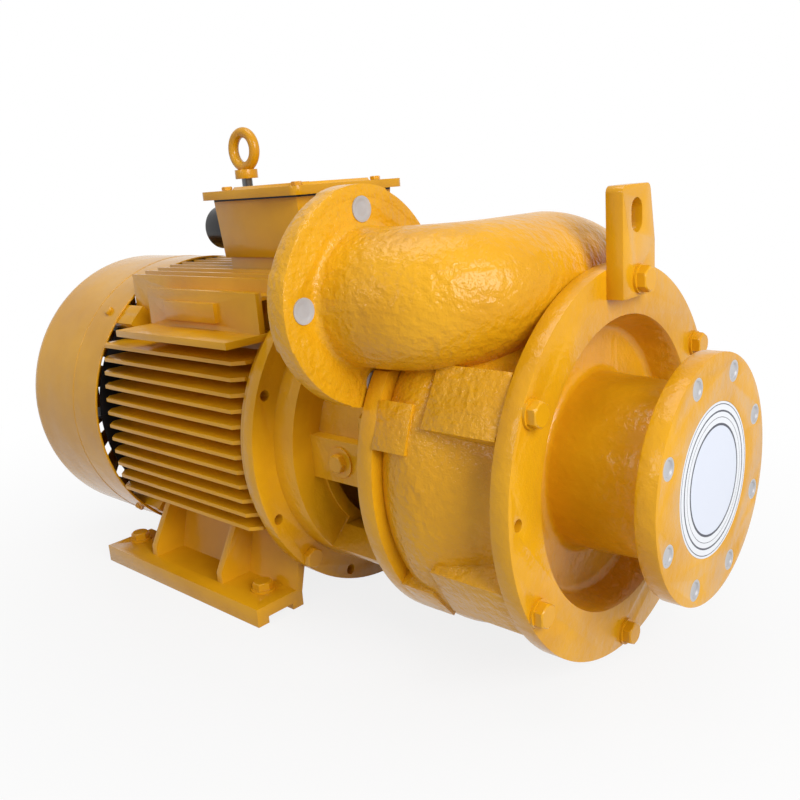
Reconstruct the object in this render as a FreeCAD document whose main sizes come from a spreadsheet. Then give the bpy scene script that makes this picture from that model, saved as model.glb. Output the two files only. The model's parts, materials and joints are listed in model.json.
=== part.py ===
"""Close-coupled slurry pump: a cast volute pump bolted to a finned, foot-mounted electric motor.

Origin: centre of the suction flange's sealing face, on the shaft axis.
+X runs along the shaft towards the motor's fan, +Y is the side of the discharge flange, +Z is up.
Sizes are millimetres and live in the spreadsheet "Dims"; stations along the shaft are sums of them.
"""
import FreeCAD, Part
import math
import os

import Sketcher
from FreeCAD import Placement, Rotation, Vector

DOC = FreeCAD.newDocument("slurry_pump")
X_AXIS = Vector(1, 0, 0)
Y_AXIS = Vector(0, 1, 0)
Z_AXIS = Vector(0, 0, 1)

# ---------------------------------------------------------------------------------------------
# Driving dimensions
# ---------------------------------------------------------------------------------------------
SIZES = {
    # suction cover: flange, neck and dished cover plate in one casting
    "suction_bore": 100, "suction_flange_dia": 208, "suction_flange_thick": 17, "suction_circle_dia": 180,
    "suction_hole_dia": 18, "suction_holes": 8, "neck_dia": 150, "neck_root_dia": 158,
    "cover_station": 80, "cover_dia": 346, "cover_thick": 17, "cover_circle_dia": 322, "cover_bolt_count": 6,
    "dish_mouth_dia": 260, "dish_floor_dia": 240, "dish_depth": 33, "cover_wall": 14, "cover_spigot_dia": 277,
    "jack_hole_dia": 10, "gasket_thick": 1.5, "cast_fillet": 8,
    # volute casing with its discharge elbow
    "casing_length": 122, "barrel_front_dia": 294, "barrel_dia": 321, "barrel_rear_dia": 314,
    "casing_wall": 14, "scroll_station": 58, "throat_height": 159, "throat_dia": 116, "tongue_height": 108,
    "tongue_dia": 76, "discharge_bore": 80, "discharge_side": 135, "discharge_flange_dia": 185,
    "discharge_flange_thick": 19, "discharge_flat_half": 83, "discharge_circle_dia": 145,
    "discharge_hole_dia": 18, "discharge_holes": 4, "discharge_station": 260, "elbow_radius": 66,
    "boss_length": 72, "boss_width": 54, "boss_reach": 170, "boss_depth": 50, "rear_boss_length": 36,
    "rear_boss_width": 42, "bolt_grip": 12,
    "chamber_dia": 224, "rear_spigot_dia": 236,
    # back plate and mechanical seal
    "back_flange_dia": 268, "back_flange_thick": 8, "back_disc_thick": 16, "seal_hub_dia": 124,
    "seal_bore_dia": 92, "seal_hub_length": 42, "seal_throat_wall": 10, "gland_thick": 12, "gland_bore": 62,
    "gland_circle_dia": 108, "seat_dia": 76, "seat_thick": 10, "seat_recess": 5, "head_dia": 74,
    "head_thick": 15, "collar_dia": 70, "collar_thick": 14, "seal_gap": 0.1,
    # lantern between pump and motor
    "lantern_length": 166, "ring_dia": 340, "ring_thick": 17, "ring_circle_dia": 300, "ring_bolt_count": 6, "ring_first_angle": 20,
    "lantern_body_dia": 230, "lantern_wall": 12, "drum_dia": 298, "drum_length": 28, "motor_flange_dia": 350,
    "motor_flange_thick": 14, "motor_circle_dia": 330, "motor_spare_holes": 8, "motor_spare_hole_dia": 11,
    "motor_bolt_count": 4, "pad_reach": 125, "pad_height": 42, "pad_bolt_station": 84, "window_low": 24,
    "window_high": 82, "rib_thick": 14, "neck_clearance": 3,
    # motor frame
    "shaft_height": 180, "frame_length": 268, "frame_flange_dia": 340, "frame_flange_thick": 10,
    "core_dia": 280, "stator_dia": 262, "fin_pitch": 15.5, "fin_thick": 4, "fin_count": 12,
    "fin_reach": 170, "lowest_fin": 80, "fin_chamfer": 10, "top_fin_pitch": 17.5, "top_fin_count": 13,
    "top_fin_reach": 174, "ledge_height": 110, "ledge_thick": 7, "ledge_reach": 176, "ledge_length": 195,
    "panel_side": 133, "panel_thick": 7, "panel_top": 157, "panel_length": 190, "pad_rise": 5,
    "foot_length": 292, "foot_outer": 174, "foot_inner": 113, "foot_thick": 20, "foot_channel": 7,
    "foot_hole_dia": 15, "foot_hole_side": 139.5, "foot_hole_spacing": 241, "foot_hole_setback": 43,
    "foot_setback": 11, "foot_wall": 9, "foot_lean": 18, "foot_leg": 14, "web_reach": 157, "front_web_setback": 91, "rear_web_setback": 219,
    # shaft line
    "bearing_bore": 55, "bearing_dia": 120, "bearing_width": 29, "ball_dia": 20, "ball_count": 8,
    "rotor_dia": 168.8, "air_gap": 0.6, "rotor_seat_dia": 68, "core_length": 165, "winding_length": 22,
    "winding_clearance": 8, "winding_inset": 6, "end_ring_length": 7, "end_ring_inner_dia": 100,
    "end_ring_inset": 4.4, "sleeve_seat_dia": 45, "sleeve_dia": 56, "slinger_dia": 96,
    "slinger_seat_dia": 52, "impeller_seat_dia": 38, "nut_thread_dia": 26, "impeller_dia": 206,
    "impeller_blades": 5, "blade_thick": 9, "eye_dia": 104, "key_width": 10, "key_height": 8,
    "shield_thick": 14, "shield_hub_wall": 14, "shield_hub_length": 42, "shaft_wall_hole_dia": 58,
    "fan_seat_dia": 42, "fan_station": 692, "fan_dia": 318, "fan_blade_count": 8, "fan_width": 46,
    "fan_hub_dia": 66, "fan_hub_length": 34, "fan_sheet": 3,
    # fan cowl
    "cowl_station": 662, "cowl_dia": 352, "cowl_length": 168, "cowl_sheet": 2, "cowl_round": 20,
    "cowl_screw_station": 688, "grille_slots": 24, "grille_slot_width": 12,
    # terminal box, lifting gear
    "box_station": 463, "box_bottom": 183, "box_top": 243, "box_bottom_half": 64, "box_top_half": 68,
    "box_wall": 5, "box_gasket_thick": 2, "lid_half": 79, "lid_thick": 9, "lid_panel_rise": 3,
    "pedestal_half": 60, "plug_side": 36, "plug_height": 214, "plug_dia": 48, "plug_length": 36,
    "lug_thick": 15, "lug_top": 236, "lug_half": 27, "lug_bottom": 147, "lug_slot_height": 212,
    "eye_station": 556, "eye_centre": 298, "eye_ring_dia": 50, "eye_hole_dia": 26, "eye_shank_dia": 12,
    "pillar_top": 238, "pillar_dia": 22,
    # fasteners and fits
    "cover_bolt_dia": 12, "ring_bolt_dia": 16, "motor_bolt_dia": 12, "pad_bolt_dia": 10, "small_bolt_dia": 8,
    "cowl_screw_dia": 6, "lid_screw_dia": 6, "fit_gap": 0.05, "thread_gap": 0.1, "body_gap": 0.3,
}

sheet = DOC.addObject("Spreadsheet::Sheet", "Dims")
for row, (alias, value) in enumerate(SIZES.items(), start=1):
    sheet.set(f"A{row}", alias.replace("_", " "))
    sheet.set(f"B{row}", str(value))
    sheet.setAlias(f"B{row}", alias)
DOC.recompute()


def dims(formula):
    """Point the bare size names of a formula at the spreadsheet's cells."""
    text = ""
    word = ""
    for letter in f"{formula} ":
        if letter.isalnum() or letter in "_.":
            word += letter
            continue
        text += f"Dims.{word}" if word in SIZES else word
        text += letter
        word = ""
    return text.strip()


def size(formula):
    """The number a formula gives now, for sketches' first guesses and Part-made shapes."""
    return float(sheet.evalExpression(dims(formula)))


# Stations along the shaft
COVER_BACK = "cover_station + cover_thick"
CASING_FRONT = f"{COVER_BACK} + gasket_thick"
CASING_REAR = f"{CASING_FRONT} + casing_length"
BACK_PLATE_FRONT = f"{CASING_REAR} - back_disc_thick"
GLAND_FRONT = f"{CASING_REAR} + seal_hub_length"
MOTOR_JOINT = f"{CASING_REAR} + lantern_length"
FRAME_END = f"{MOTOR_JOINT} + frame_length"
BEARING_INSET = "6"
DRIVE_BEARING = f"{MOTOR_JOINT} + {BEARING_INSET}"
FAN_BEARING = f"{FRAME_END} - {BEARING_INSET} - bearing_width"
CORE_START = f"{MOTOR_JOINT} + frame_length / 2 - core_length / 2"
IMPELLER_FRONT = "cover_station + dish_depth + cover_wall + 3"
IMPELLER_REAR = f"{BACK_PLATE_FRONT} - 3"

# ---------------------------------------------------------------------------------------------
# Helpers
# ---------------------------------------------------------------------------------------------
NODES = []


def keep(node, station="0"):
    """Register a sub-part and bind its place along the shaft."""
    NODES.append(node)
    node.setExpression("Placement.Base.x", dims(station))
    return node


def body_at(label, station="0"):
    return keep(DOC.addObject("PartDesign::Body", label), station)


def origin_item(body, role):
    return next(item for item in body.Origin.OriginFeatures if item.Role == role)


def blank_sketch(body, name, role, offset="0"):
    sketch = body.newObject("Sketcher::SketchObject", name)
    sketch.AttachmentSupport = (origin_item(body, role), [""])
    sketch.MapMode = "FlatFace"
    sketch.AttachmentOffset = Placement(Vector(0, 0, size(offset)), Rotation())
    sketch.setExpression("AttachmentOffset.Base.z", dims(offset))
    return sketch


def bind(sketch, kind, where, formula):
    """Add one driving constraint and tie it to the spreadsheet."""
    index = sketch.addConstraint(Sketcher.Constraint(kind, *where, size(formula)))
    sketch.setExpression(f"Constraints[{index}]", dims(formula))


def polygon(sketch, corners):
    """Closed outline whose corners are pairs of formulas."""
    first = sketch.GeometryCount
    points = [Vector(size(across), size(up), 0) for across, up in corners]
    count = len(points)
    for index in range(count):
        sketch.addGeometry(Part.LineSegment(points[index], points[(index + 1) % count]))
    for index in range(count):
        following = first + (index + 1) % count
        sketch.addConstraint(Sketcher.Constraint("Coincident", first + index, 2, following, 1))
    for index, (across, up) in enumerate(corners):
        bind(sketch, "DistanceX", (-1, 1, first + index, 1), across)
        bind(sketch, "DistanceY", (-1, 1, first + index, 1), up)
    return sketch


def circle(sketch, across, up, dia):
    index = sketch.GeometryCount
    centre = Vector(size(across), size(up), 0)
    sketch.addGeometry(Part.Circle(centre, Z_AXIS, size(dia) / 2))
    bind(sketch, "DistanceX", (-1, 1, index, 3), across)
    bind(sketch, "DistanceY", (-1, 1, index, 3), up)
    bind(sketch, "Diameter", (index,), dia)
    return sketch


def revolve(body, name, corners):
    """Turn an outline of (along the shaft, radius) corners about the shaft."""
    sketch = polygon(blank_sketch(body, f"{name}_profile", "XZ_Plane"), corners)
    turn = body.newObject("PartDesign::Revolution", name)
    turn.Profile = sketch
    turn.ReferenceAxis = (sketch, ["H_Axis"])
    turn.Angle = 360
    return turn


def turned(label, station, corners):
    """A sub-part that is one turned outline."""
    body = body_at(label, station)
    revolve(body, f"{label}_turning", corners)
    return body


def pad(body, sketch, name, length, both_ways=False):
    feature = body.newObject("PartDesign::Pad", name)
    feature.Profile = sketch
    feature.SideType = "Symmetric" if both_ways else "One side"
    feature.setExpression("Length", dims(length))
    return feature


def cut(body, sketch, name, length=None):
    """Pocket towards the sketch's own normal, or right through both ways where no length is given."""
    feature = body.newObject("PartDesign::Pocket", name)
    feature.Profile = sketch
    if length is None:
        feature.SideType = "Symmetric"
        feature.Type = "ThroughAll"
    else:
        feature.Reversed = True
        feature.setExpression("Length", dims(length))
    return feature


def around(body, feature, name, count):
    """Repeat a feature round the shaft."""
    pattern = body.newObject("PartDesign::PolarPattern", name)
    pattern.Originals = [feature]
    pattern.Axis = (origin_item(body, "X_Axis"), [""])
    pattern.Angle = 360
    pattern.setExpression("Occurrences", dims(count))
    body.Tip = pattern
    return pattern


def hole_ring(body, name, circle_dia, dia, count, first_angle, start="0", length=None):
    """A circle of holes round the shaft, the first at an angle from +Y towards +Z."""
    sketch = blank_sketch(body, f"{name}_centre", "YZ_Plane", start)
    circle(sketch, f"{circle_dia} / 2 * cos({first_angle})", f"{circle_dia} / 2 * sin({first_angle})", dia)
    return around(body, cut(body, sketch, name, length), f"{name}_ring", count)


def made(label, shape, station="0"):
    """A sub-part whose shape comes from Part's own functions, at its station along the shaft."""
    node = DOC.addObject("Part::Feature", label)
    node.Shape = shape
    return keep(node, station)


def box(length, width, height, centre):
    """Block centred on a point."""
    corner = centre - Vector(length / 2, width / 2, height / 2)
    return Part.makeBox(length, width, height, corner)


def rod(dia, length, start, axis=X_AXIS):
    return Part.makeCylinder(dia / 2, length, start, axis)


def turned_shape(corners):
    """Solid of revolution about the shaft from (along, radius) numbers."""
    wire = Part.makePolygon([Vector(along, 0, radius) for along, radius in corners + corners[:1]])
    return Part.Face(wire).revolve(Vector(), X_AXIS, 360)


def polar(radius, angle, along=0):
    """Point at a radius and an angle in degrees from +Y towards +Z."""
    turn = math.radians(angle)
    return Vector(along, radius * math.cos(turn), radius * math.sin(turn))


def spun(shape, angle):
    copy = shape.copy()
    copy.rotate(Vector(), X_AXIS, angle)
    return copy


def hex_bolt(dia, shank):
    """Hexagon bolt along +X with its head's seat at the origin."""
    across_flats = 1.5 * dia + 1
    head = 0.65 * dia
    corners = [polar(across_flats / math.sqrt(3), 60 * step, -head) for step in range(7)]
    prism = Part.Face(Part.makePolygon(corners)).extrude(Vector(head, 0, 0))
    dome = Part.makeCone(0.4 * across_flats, across_flats, 0.6 * across_flats, Vector(-head, 0, 0), X_AXIS)
    return prism.common(dome).fuse(rod(dia, shank, Vector(-0.1 * dia, 0, 0))).removeSplitter()


def washer(dia):
    """Plain washer with its seat at the origin."""
    thick = washer_thick(dia)
    outer = rod(2 * dia, thick, Vector(-thick, 0, 0))
    return outer.cut(rod(dia + 2 * V_THREAD, thick, Vector(-thick, 0, 0)))


def washer_thick(dia):
    return 0.2 * dia


V_THREAD = size("thread_gap")


def ring_of(shape, circle_dia, count, first_angle, station):
    """Copies of one fastener round the shaft."""
    step = 360 / count
    copies = []
    for index in range(int(count)):
        copy = shape.copy()
        copy.translate(polar(circle_dia / 2, first_angle + step * index, station))
        copies.append(copy)
    return copies


# ---------------------------------------------------------------------------------------------
# Pump end
# ---------------------------------------------------------------------------------------------
def make_suction_cover():
    cover = body_at("suction_cover")
    floor = "cover_station + dish_depth"
    inner = f"{floor} + cover_wall"
    revolve(cover, "cover_casting", [
        ("0", "suction_bore / 2"), ("0", "suction_flange_dia / 2"),
        ("suction_flange_thick", "suction_flange_dia / 2"), ("suction_flange_thick", "neck_dia / 2"),
        (floor, "neck_root_dia / 2"), (floor, "dish_floor_dia / 2"),
        ("cover_station", "dish_mouth_dia / 2"), ("cover_station", "cover_dia / 2"),
        (COVER_BACK, "cover_dia / 2"), (COVER_BACK, "cover_spigot_dia / 2"),
        (inner, "cover_spigot_dia / 2 - cover_wall / 2"), (inner, "suction_bore / 2"),
    ])
    DOC.recompute()
    soften = cover.newObject("PartDesign::Fillet", "cast_roots")
    turning = cover.getObject("cover_casting") or DOC.getObject("cover_casting")
    roots = ring_edges(turning.Shape, [
        (size("suction_flange_thick"), size("neck_dia / 2")),
        (size(floor), size("neck_root_dia / 2")),
        (size(floor), size("dish_floor_dia / 2")),
    ])
    soften.Base = (turning, roots)
    soften.setExpression("Radius", dims("cast_fillet"))
    hole_ring(cover, "suction_holes_cut", "suction_circle_dia", "suction_hole_dia", "suction_holes",
              "180 / suction_holes", "0", "suction_flange_thick + 1")
    hole_ring(cover, "cover_bolt_holes", "cover_circle_dia", "cover_bolt_dia + 2 * thread_gap + 1.5",
              "cover_bolt_count", "30", "cover_station", "cover_thick + 1")
    hole_ring(cover, "jack_holes", "cover_circle_dia", "jack_hole_dia", "2", "0", "cover_station",
              "cover_thick + 1")


def ring_edges(shape, rings):
    """Names of a turned shape's circular edges at (station, radius) places."""
    names = []
    for index, edge in enumerate(shape.Edges, start=1):
        if not isinstance(edge.Curve, Part.Circle):
            continue
        centre = edge.Curve.Center
        for along, radius in rings:
            if abs(centre.x - along) < 0.01 and abs(edge.Curve.Radius - radius) < 0.01:
                names.append(f"Edge{index}")
    return names


def make_cover_gasket():
    turned("cover_gasket", COVER_BACK, [
        ("0", "cover_spigot_dia / 2 + body_gap"), ("0", "barrel_front_dia / 2 - 2"),
        ("gasket_thick", "barrel_front_dia / 2 - 2"), ("gasket_thick", "cover_spigot_dia / 2 + body_gap"),
    ])


def tube_path(radius):
    """Discharge passage of one radius: out of the throat towards +Y, round the elbow, along +X."""
    throat = Vector(size("scroll_station"), 0, size("throat_height"))
    bend = size("elbow_radius")
    run = size("discharge_side") - bend
    outlet_face = size(f"discharge_station - ({CASING_FRONT})")
    straight = Part.makeCylinder(radius, run, throat, Y_AXIS)
    bend_start = Vector(throat.x, run, throat.z)
    disc = Part.Face(Part.Wire(Part.makeCircle(radius, bend_start, Y_AXIS)))
    elbow = disc.revolve(Vector(throat.x + bend, run, throat.z), Vector(0, 0, -1), 90)
    outlet = Vector(throat.x + bend, run + bend, throat.z)
    tail = Part.makeCylinder(radius, outlet_face - outlet.x, outlet, X_AXIS)
    return straight.fuse([elbow, tail])


SCROLL_SWEEP = 285
SCROLL_SECTIONS = 8


def scroll(shrink):
    """Spiral chamber that grows from the tongue round to the throat."""
    wires = []
    for index in range(SCROLL_SECTIONS):
        share = index / (SCROLL_SECTIONS - 1)
        angle = 90 - SCROLL_SWEEP * (1 - share)
        height = size("tongue_height") + share * size("throat_height - tongue_height")
        dia = size("tongue_dia") + share * size("throat_dia - tongue_dia")
        centre = polar(height, -angle + 180, size("scroll_station"))
        normal = X_AXIS.cross(Vector(0, centre.y, centre.z))
        wires.append(Part.Wire(Part.makeCircle(dia / 2 - shrink, centre, normal)))
    return Part.makeLoft(wires, True)


def make_volute_casing():
    length = size("casing_length")
    front = size("barrel_front_dia / 2")
    rear = size("barrel_rear_dia / 2")
    belly = Part.BSplineCurve()
    belly.interpolate([Vector(0, 0, front), Vector(0.18 * length, 0, front + 2),
                       Vector(0.45 * length, 0, size("barrel_dia / 2")), Vector(length, 0, rear)])
    sides = Part.makePolygon([Vector(length, 0, rear), Vector(length, 0, 0), Vector(), Vector(0, 0, front)])
    barrel = Part.Face(Part.Wire([belly.toShape()] + sides.Edges)).revolve(Vector(), X_AXIS, 360)
    throat = size("throat_dia / 2")
    flange_front = size(f"discharge_station - discharge_flange_thick - ({CASING_FRONT})")
    outlet = Vector(flange_front, size("discharge_side"), size("throat_height"))
    flange = rod(size("discharge_flange_dia"), size("discharge_flange_thick"), outlet)
    flats = box(2 * size("discharge_flange_thick"), size("2 * discharge_flat_half"),
                size("2 * discharge_flat_half"), Vector())
    flats.rotate(Vector(), X_AXIS, 45)
    flats.translate(outlet + Vector(size("discharge_flange_thick"), 0, 0))
    outside = [scroll(0), tube_path(throat), flange.common(flats)]
    boss_depth = size("boss_depth")
    boss = box(size("boss_length"), boss_depth, size("boss_width"),
               Vector(size("boss_length / 2"), size("boss_reach") - boss_depth / 2, 0))
    count = int(size("cover_bolt_count"))
    outside += [spun(boss, 30 + 360 / count * index) for index in range(count)]
    rear_boss = box(size("rear_boss_length"), boss_depth, size("rear_boss_width"),
                    Vector(length - size("rear_boss_length / 2"), size("boss_reach") - boss_depth / 2, 0))
    rear_count = int(size("ring_bolt_count"))
    first = size("ring_first_angle")
    outside += [spun(rear_boss, first + 360 / rear_count * index) for index in range(rear_count)]
    casting = barrel.fuse(outside)
    mouth = rod(size("cover_spigot_dia + 2 * body_gap"), size("dish_depth + cover_wall"), Vector())
    chamber = rod(size("chamber_dia"), length, Vector())
    seat = rod(size("rear_spigot_dia"), size("back_disc_thick"), Vector(length - size("back_disc_thick"), 0, 0))
    bore = tube_path(size("discharge_bore / 2"))
    wall = size("(throat_dia - discharge_bore) / 2")
    tapped = size("cover_bolt_dia + 2 * thread_gap")
    bolt_holes = ring_of(rod(tapped, size("bolt_grip") + 1, Vector()), size("cover_circle_dia"), count, 30, 0)
    depth = size("ring_bolt_dia") + 3
    stud = rod(size("ring_bolt_dia + 2 * thread_gap"), depth, Vector(-depth, 0, 0))
    bolt_holes += ring_of(stud, size("ring_circle_dia"), rear_count, first, length)
    outlet_hole = rod(size("discharge_hole_dia"), size("discharge_flange_thick + 2"), Vector(-1, 0, 0))
    outlet_holes = ring_of(outlet_hole, size("discharge_circle_dia"), size("discharge_holes"), 0, 0)
    for hole in outlet_holes:
        hole.translate(outlet)
    return made("volute_casing",
                casting.cut([mouth, chamber, seat, scroll(wall), bore] + bolt_holes + outlet_holes),
                CASING_FRONT)


def bolt_set(label, shape, circle_dia, count, first_angle, station, extra=()):
    """One node for a circle of equal fasteners."""
    return made(label, Part.makeCompound(ring_of(shape, circle_dia, count, first_angle, 0) + list(extra)), station)


def make_cover_bolts():
    dia = size("cover_bolt_dia")
    count = int(size("cover_bolt_count"))
    reach = size("cover_thick + gasket_thick + bolt_grip") + washer_thick(dia)
    lug = size("lug_thick")
    bolts = []
    washers = []
    for index in range(count):
        angle = 30 + 360 / count * index
        over_lug = lug if angle == 90 else 0
        place = polar(size("cover_circle_dia / 2"), angle, -over_lug)
        bolt = hex_bolt(dia, reach + over_lug)
        bolt.translate(place - Vector(washer_thick(dia), 0, 0))
        bolts.append(bolt)
        ring = washer(dia)
        ring.translate(place)
        washers.append(ring)
    made("cover_bolts", Part.makeCompound(bolts), "cover_station")
    made("cover_washers", Part.makeCompound(washers), "cover_station")


def make_lifting_lug():
    thick = size("lug_thick")
    half = size("lug_half")
    low = size("lug_bottom")
    top = size("lug_top")
    neck = 0.7 * half
    corners = [Vector(-thick, half, low), Vector(-thick, half, top), Vector(-thick, -neck, top),
               Vector(-thick, -half, top - 46), Vector(-thick, -half, low), Vector(-thick, half, low)]
    plate = Part.Face(Part.makePolygon(corners)).extrude(Vector(thick, 0, 0))
    upright = [edge for edge in plate.Edges if edge.Vertexes[0].Point.z == edge.Vertexes[-1].Point.z == top
               and abs(edge.Vertexes[0].Point.x - edge.Vertexes[-1].Point.x) > 1]
    plate = plate.makeFillet(6, upright)
    slot_wide = 18
    slot_tall = 27
    middle = Vector(-thick, 4, size("lug_slot_height"))
    rise = Vector(0, 0, (slot_tall - slot_wide) / 2)
    slot = rod(slot_wide, thick, middle + rise).fuse([
        rod(slot_wide, thick, middle - rise),
        box(thick, slot_wide, slot_tall - slot_wide, middle + Vector(thick / 2, 0, 0))])
    hole = rod(size("cover_bolt_dia") + 1.5, thick, Vector(-thick, 0, size("cover_circle_dia / 2")))
    made("lifting_lug", plate.cut([slot, hole]), "cover_station")


def make_back_plate():
    plate = turned("back_plate", BACK_PLATE_FRONT, [
        ("0", "sleeve_dia / 2 + 1.5"), ("0", "rear_spigot_dia / 2 - fit_gap"),
        ("back_disc_thick", "rear_spigot_dia / 2 - fit_gap"), ("back_disc_thick", "back_flange_dia / 2"),
        ("back_disc_thick + back_flange_thick", "back_flange_dia / 2"),
        ("back_disc_thick + back_flange_thick", "seal_hub_dia / 2"),
        ("back_disc_thick + seal_hub_length", "seal_hub_dia / 2"),
        ("back_disc_thick + seal_hub_length", "seal_bore_dia / 2"),
        ("seal_throat_wall", "seal_bore_dia / 2"), ("seal_throat_wall", "sleeve_dia / 2 + 1.5"),
    ])
    hole_ring(plate, "gland_tapped_holes", "gland_circle_dia", "small_bolt_dia + 2 * thread_gap",
              "motor_bolt_count", "45", "back_disc_thick + seal_hub_length - 18", "19")


def make_seal():
    gland = turned("seal_gland", GLAND_FRONT, [
        ("0", "seat_dia / 2 + fit_gap"), ("0", "seal_hub_dia / 2"), ("gland_thick", "seal_hub_dia / 2"),
        ("gland_thick", "gland_bore / 2"), ("seat_recess", "gland_bore / 2"),
        ("seat_recess", "seat_dia / 2 + fit_gap"),
    ])
    hole_ring(gland, "gland_holes", "gland_circle_dia", "small_bolt_dia + 1", "motor_bolt_count", "45", "0",
              "gland_thick + 1")
    turned("seal_seat", GLAND_FRONT, [
        ("seat_recess - seat_thick", "gland_bore / 2"), ("seat_recess - seat_thick", "seat_dia / 2 - fit_gap"),
        ("seat_recess", "seat_dia / 2 - fit_gap"), ("seat_recess", "gland_bore / 2"),
    ])
    head_rear = "seat_recess - seat_thick - seal_gap"
    turned("seal_head", GLAND_FRONT, [
        (f"{head_rear} - head_thick", "sleeve_dia / 2 + fit_gap"), (f"{head_rear} - head_thick", "head_dia / 2"),
        (head_rear, "head_dia / 2"), (head_rear, "sleeve_dia / 2 + fit_gap"),
    ])
    collar_rear = f"{head_rear} - head_thick"
    turned("seal_collar", GLAND_FRONT, [
        (f"{collar_rear} - collar_thick", "sleeve_dia / 2 + fit_gap"),
        (f"{collar_rear} - collar_thick", "collar_dia / 2"),
        (collar_rear, "collar_dia / 2"), (collar_rear, "sleeve_dia / 2 + fit_gap"),
    ])
    bolt = spun_back(hex_bolt(size("small_bolt_dia"), size("gland_thick") + 14))
    bolt_set("gland_bolts", bolt, size("gland_circle_dia"), 4, 45, f"{GLAND_FRONT} + gland_thick")


def spun_back(shape):
    """Turn a fastener end for end, so its head points along +X."""
    copy = shape.copy()
    copy.rotate(Vector(), Z_AXIS, 180)
    return copy


# ---------------------------------------------------------------------------------------------
# Lantern between pump and motor
# ---------------------------------------------------------------------------------------------
def make_lantern():
    length = size("lantern_length")
    ring = size("ring_thick")
    flange = size("motor_flange_thick")
    body = size("lantern_body_dia / 2")
    bore = body - size("lantern_wall")
    drum_start = length - flange - size("drum_length")
    drum = size("drum_dia / 2")
    hollow = drum - 2 * size("lantern_wall")
    recess = size("back_flange_thick")
    seat = size("back_flange_dia / 2 + body_gap")
    end_wall = 8
    casting = turned_shape([
        (0, seat), (0, size("ring_dia / 2")), (ring, size("ring_dia / 2")), (ring, body), (drum_start, body),
        (drum_start, drum), (length - flange, drum), (length - flange, size("motor_flange_dia / 2")),
        (length, size("motor_flange_dia / 2")), (length, hollow), (drum_start + end_wall, hollow),
        (drum_start + end_wall, bore), (recess, bore), (recess, seat)])
    reach = size("pad_reach")
    pad_depth = 18
    blocks = []
    for side in (1, -1):
        blocks.append(box(drum_start - ring + 2, pad_depth, size("pad_height"),
                          Vector((drum_start + ring) / 2, side * (reach - pad_depth / 2), 0)))
    rib = box(drum_start - ring + 2, drum - body + 4, size("rib_thick"),
              Vector((drum_start + ring) / 2, (drum + body) / 2 - 2, 0))
    blocks += [spun(rib, angle) for angle in (-45, -135, 135)]
    casting = casting.fuse(blocks)
    window_tall = size("window_high - window_low")
    cuts = []
    for side in (1, -1):
        cuts.append(box(drum_start - ring - 6, body, window_tall,
                        Vector((drum_start + ring) / 2, side * body, -size("window_high + window_low") / 2)))
        pad_hole = rod(size("pad_bolt_dia + 2 * thread_gap"), 30,
                       Vector(size("pad_bolt_station"), side * (reach + 1), 0), Vector(0, -side, 0))
        cuts.append(pad_hole)
    neck = Vector(-1, size("discharge_side"), size("throat_height"))
    cuts.append(rod(size("throat_dia + 2 * neck_clearance"), ring + 2, neck))
    through = rod(size("ring_bolt_dia") + 1.5, ring + 2, Vector(-1, 0, 0))
    ring_bolts = size("ring_bolt_count")
    first = size("ring_first_angle")
    cuts += ring_of(through, size("ring_circle_dia"), ring_bolts, first, 0)
    spot_face = rod(2.1 * size("ring_bolt_dia"), 16, Vector(ring, 0, 0))
    cuts += ring_of(spot_face, size("ring_circle_dia"), ring_bolts, first, 0)
    spare = rod(size("motor_spare_hole_dia"), flange + 2, Vector(-1, 0, 0))
    cuts += ring_of(spare, size("motor_circle_dia"), size("motor_spare_holes"), 22.5, length - flange)
    bolt_hole = rod(size("motor_bolt_dia") + 1.5, flange + 2, Vector(-1, 0, 0))
    cuts += ring_of(bolt_hole, size("motor_circle_dia"), size("motor_bolt_count"), 45, length - flange)
    made("lantern_bracket", casting.cut(cuts), CASING_REAR)
    ring_bolt = spun_back(hex_bolt(size("ring_bolt_dia"), ring + size("ring_bolt_dia")))
    bolt_set("ring_bolts", ring_bolt, size("ring_circle_dia"), ring_bolts, first, f"{CASING_REAR} + ring_thick")
    motor_bolt = hex_bolt(size("motor_bolt_dia"), flange + size("frame_flange_thick") - 1)
    bolt_set("motor_flange_bolts", motor_bolt, size("motor_circle_dia"), 4, 45,
             f"{MOTOR_JOINT} - motor_flange_thick")
    side_bolts = []
    side_washers = []
    for side in (1, -1):
        plate_thick = 3
        bolt = hex_bolt(size("pad_bolt_dia"), 16 + plate_thick)
        big = rod(30, plate_thick, Vector(-plate_thick, 0, 0))
        big = big.cut(rod(size("pad_bolt_dia") + 1, plate_thick, Vector(-plate_thick, 0, 0)))
        bolt.translate(Vector(-plate_thick, 0, 0))
        for shape, group in ((bolt, side_bolts), (big, side_washers)):
            shape.rotate(Vector(), Z_AXIS, -90 * side)
            shape.translate(Vector(size("pad_bolt_station"), side * reach, 0))
            group.append(shape)
    made("pad_bolts", Part.makeCompound(side_bolts), CASING_REAR)
    made("pad_washers", Part.makeCompound(side_washers), CASING_REAR)


# ---------------------------------------------------------------------------------------------
# Motor frame and its covers
# ---------------------------------------------------------------------------------------------
def flat_fin(height, start, end):
    """Horizontal fin plate across the frame at one height, with its corners cut off."""
    half = size("fin_reach") - height * height / FIN_FALL
    corner = size("fin_chamfer")
    thick = size("fin_thick")
    outline = []
    for along, side in ((start, -1), (end, -1), (end, 1), (start, 1)):
        inward = corner if along == start else -corner
        pair = [Vector(along, side * (half - corner), height), Vector(along + inward, side * half, height)]
        outline += pair if (side == -1) == (along == start) else pair[::-1]
    face = Part.Face(Part.makePolygon(outline + outline[:1]))
    return face.extrude(Vector(0, 0, thick))


FIN_FALL = 900


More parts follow.
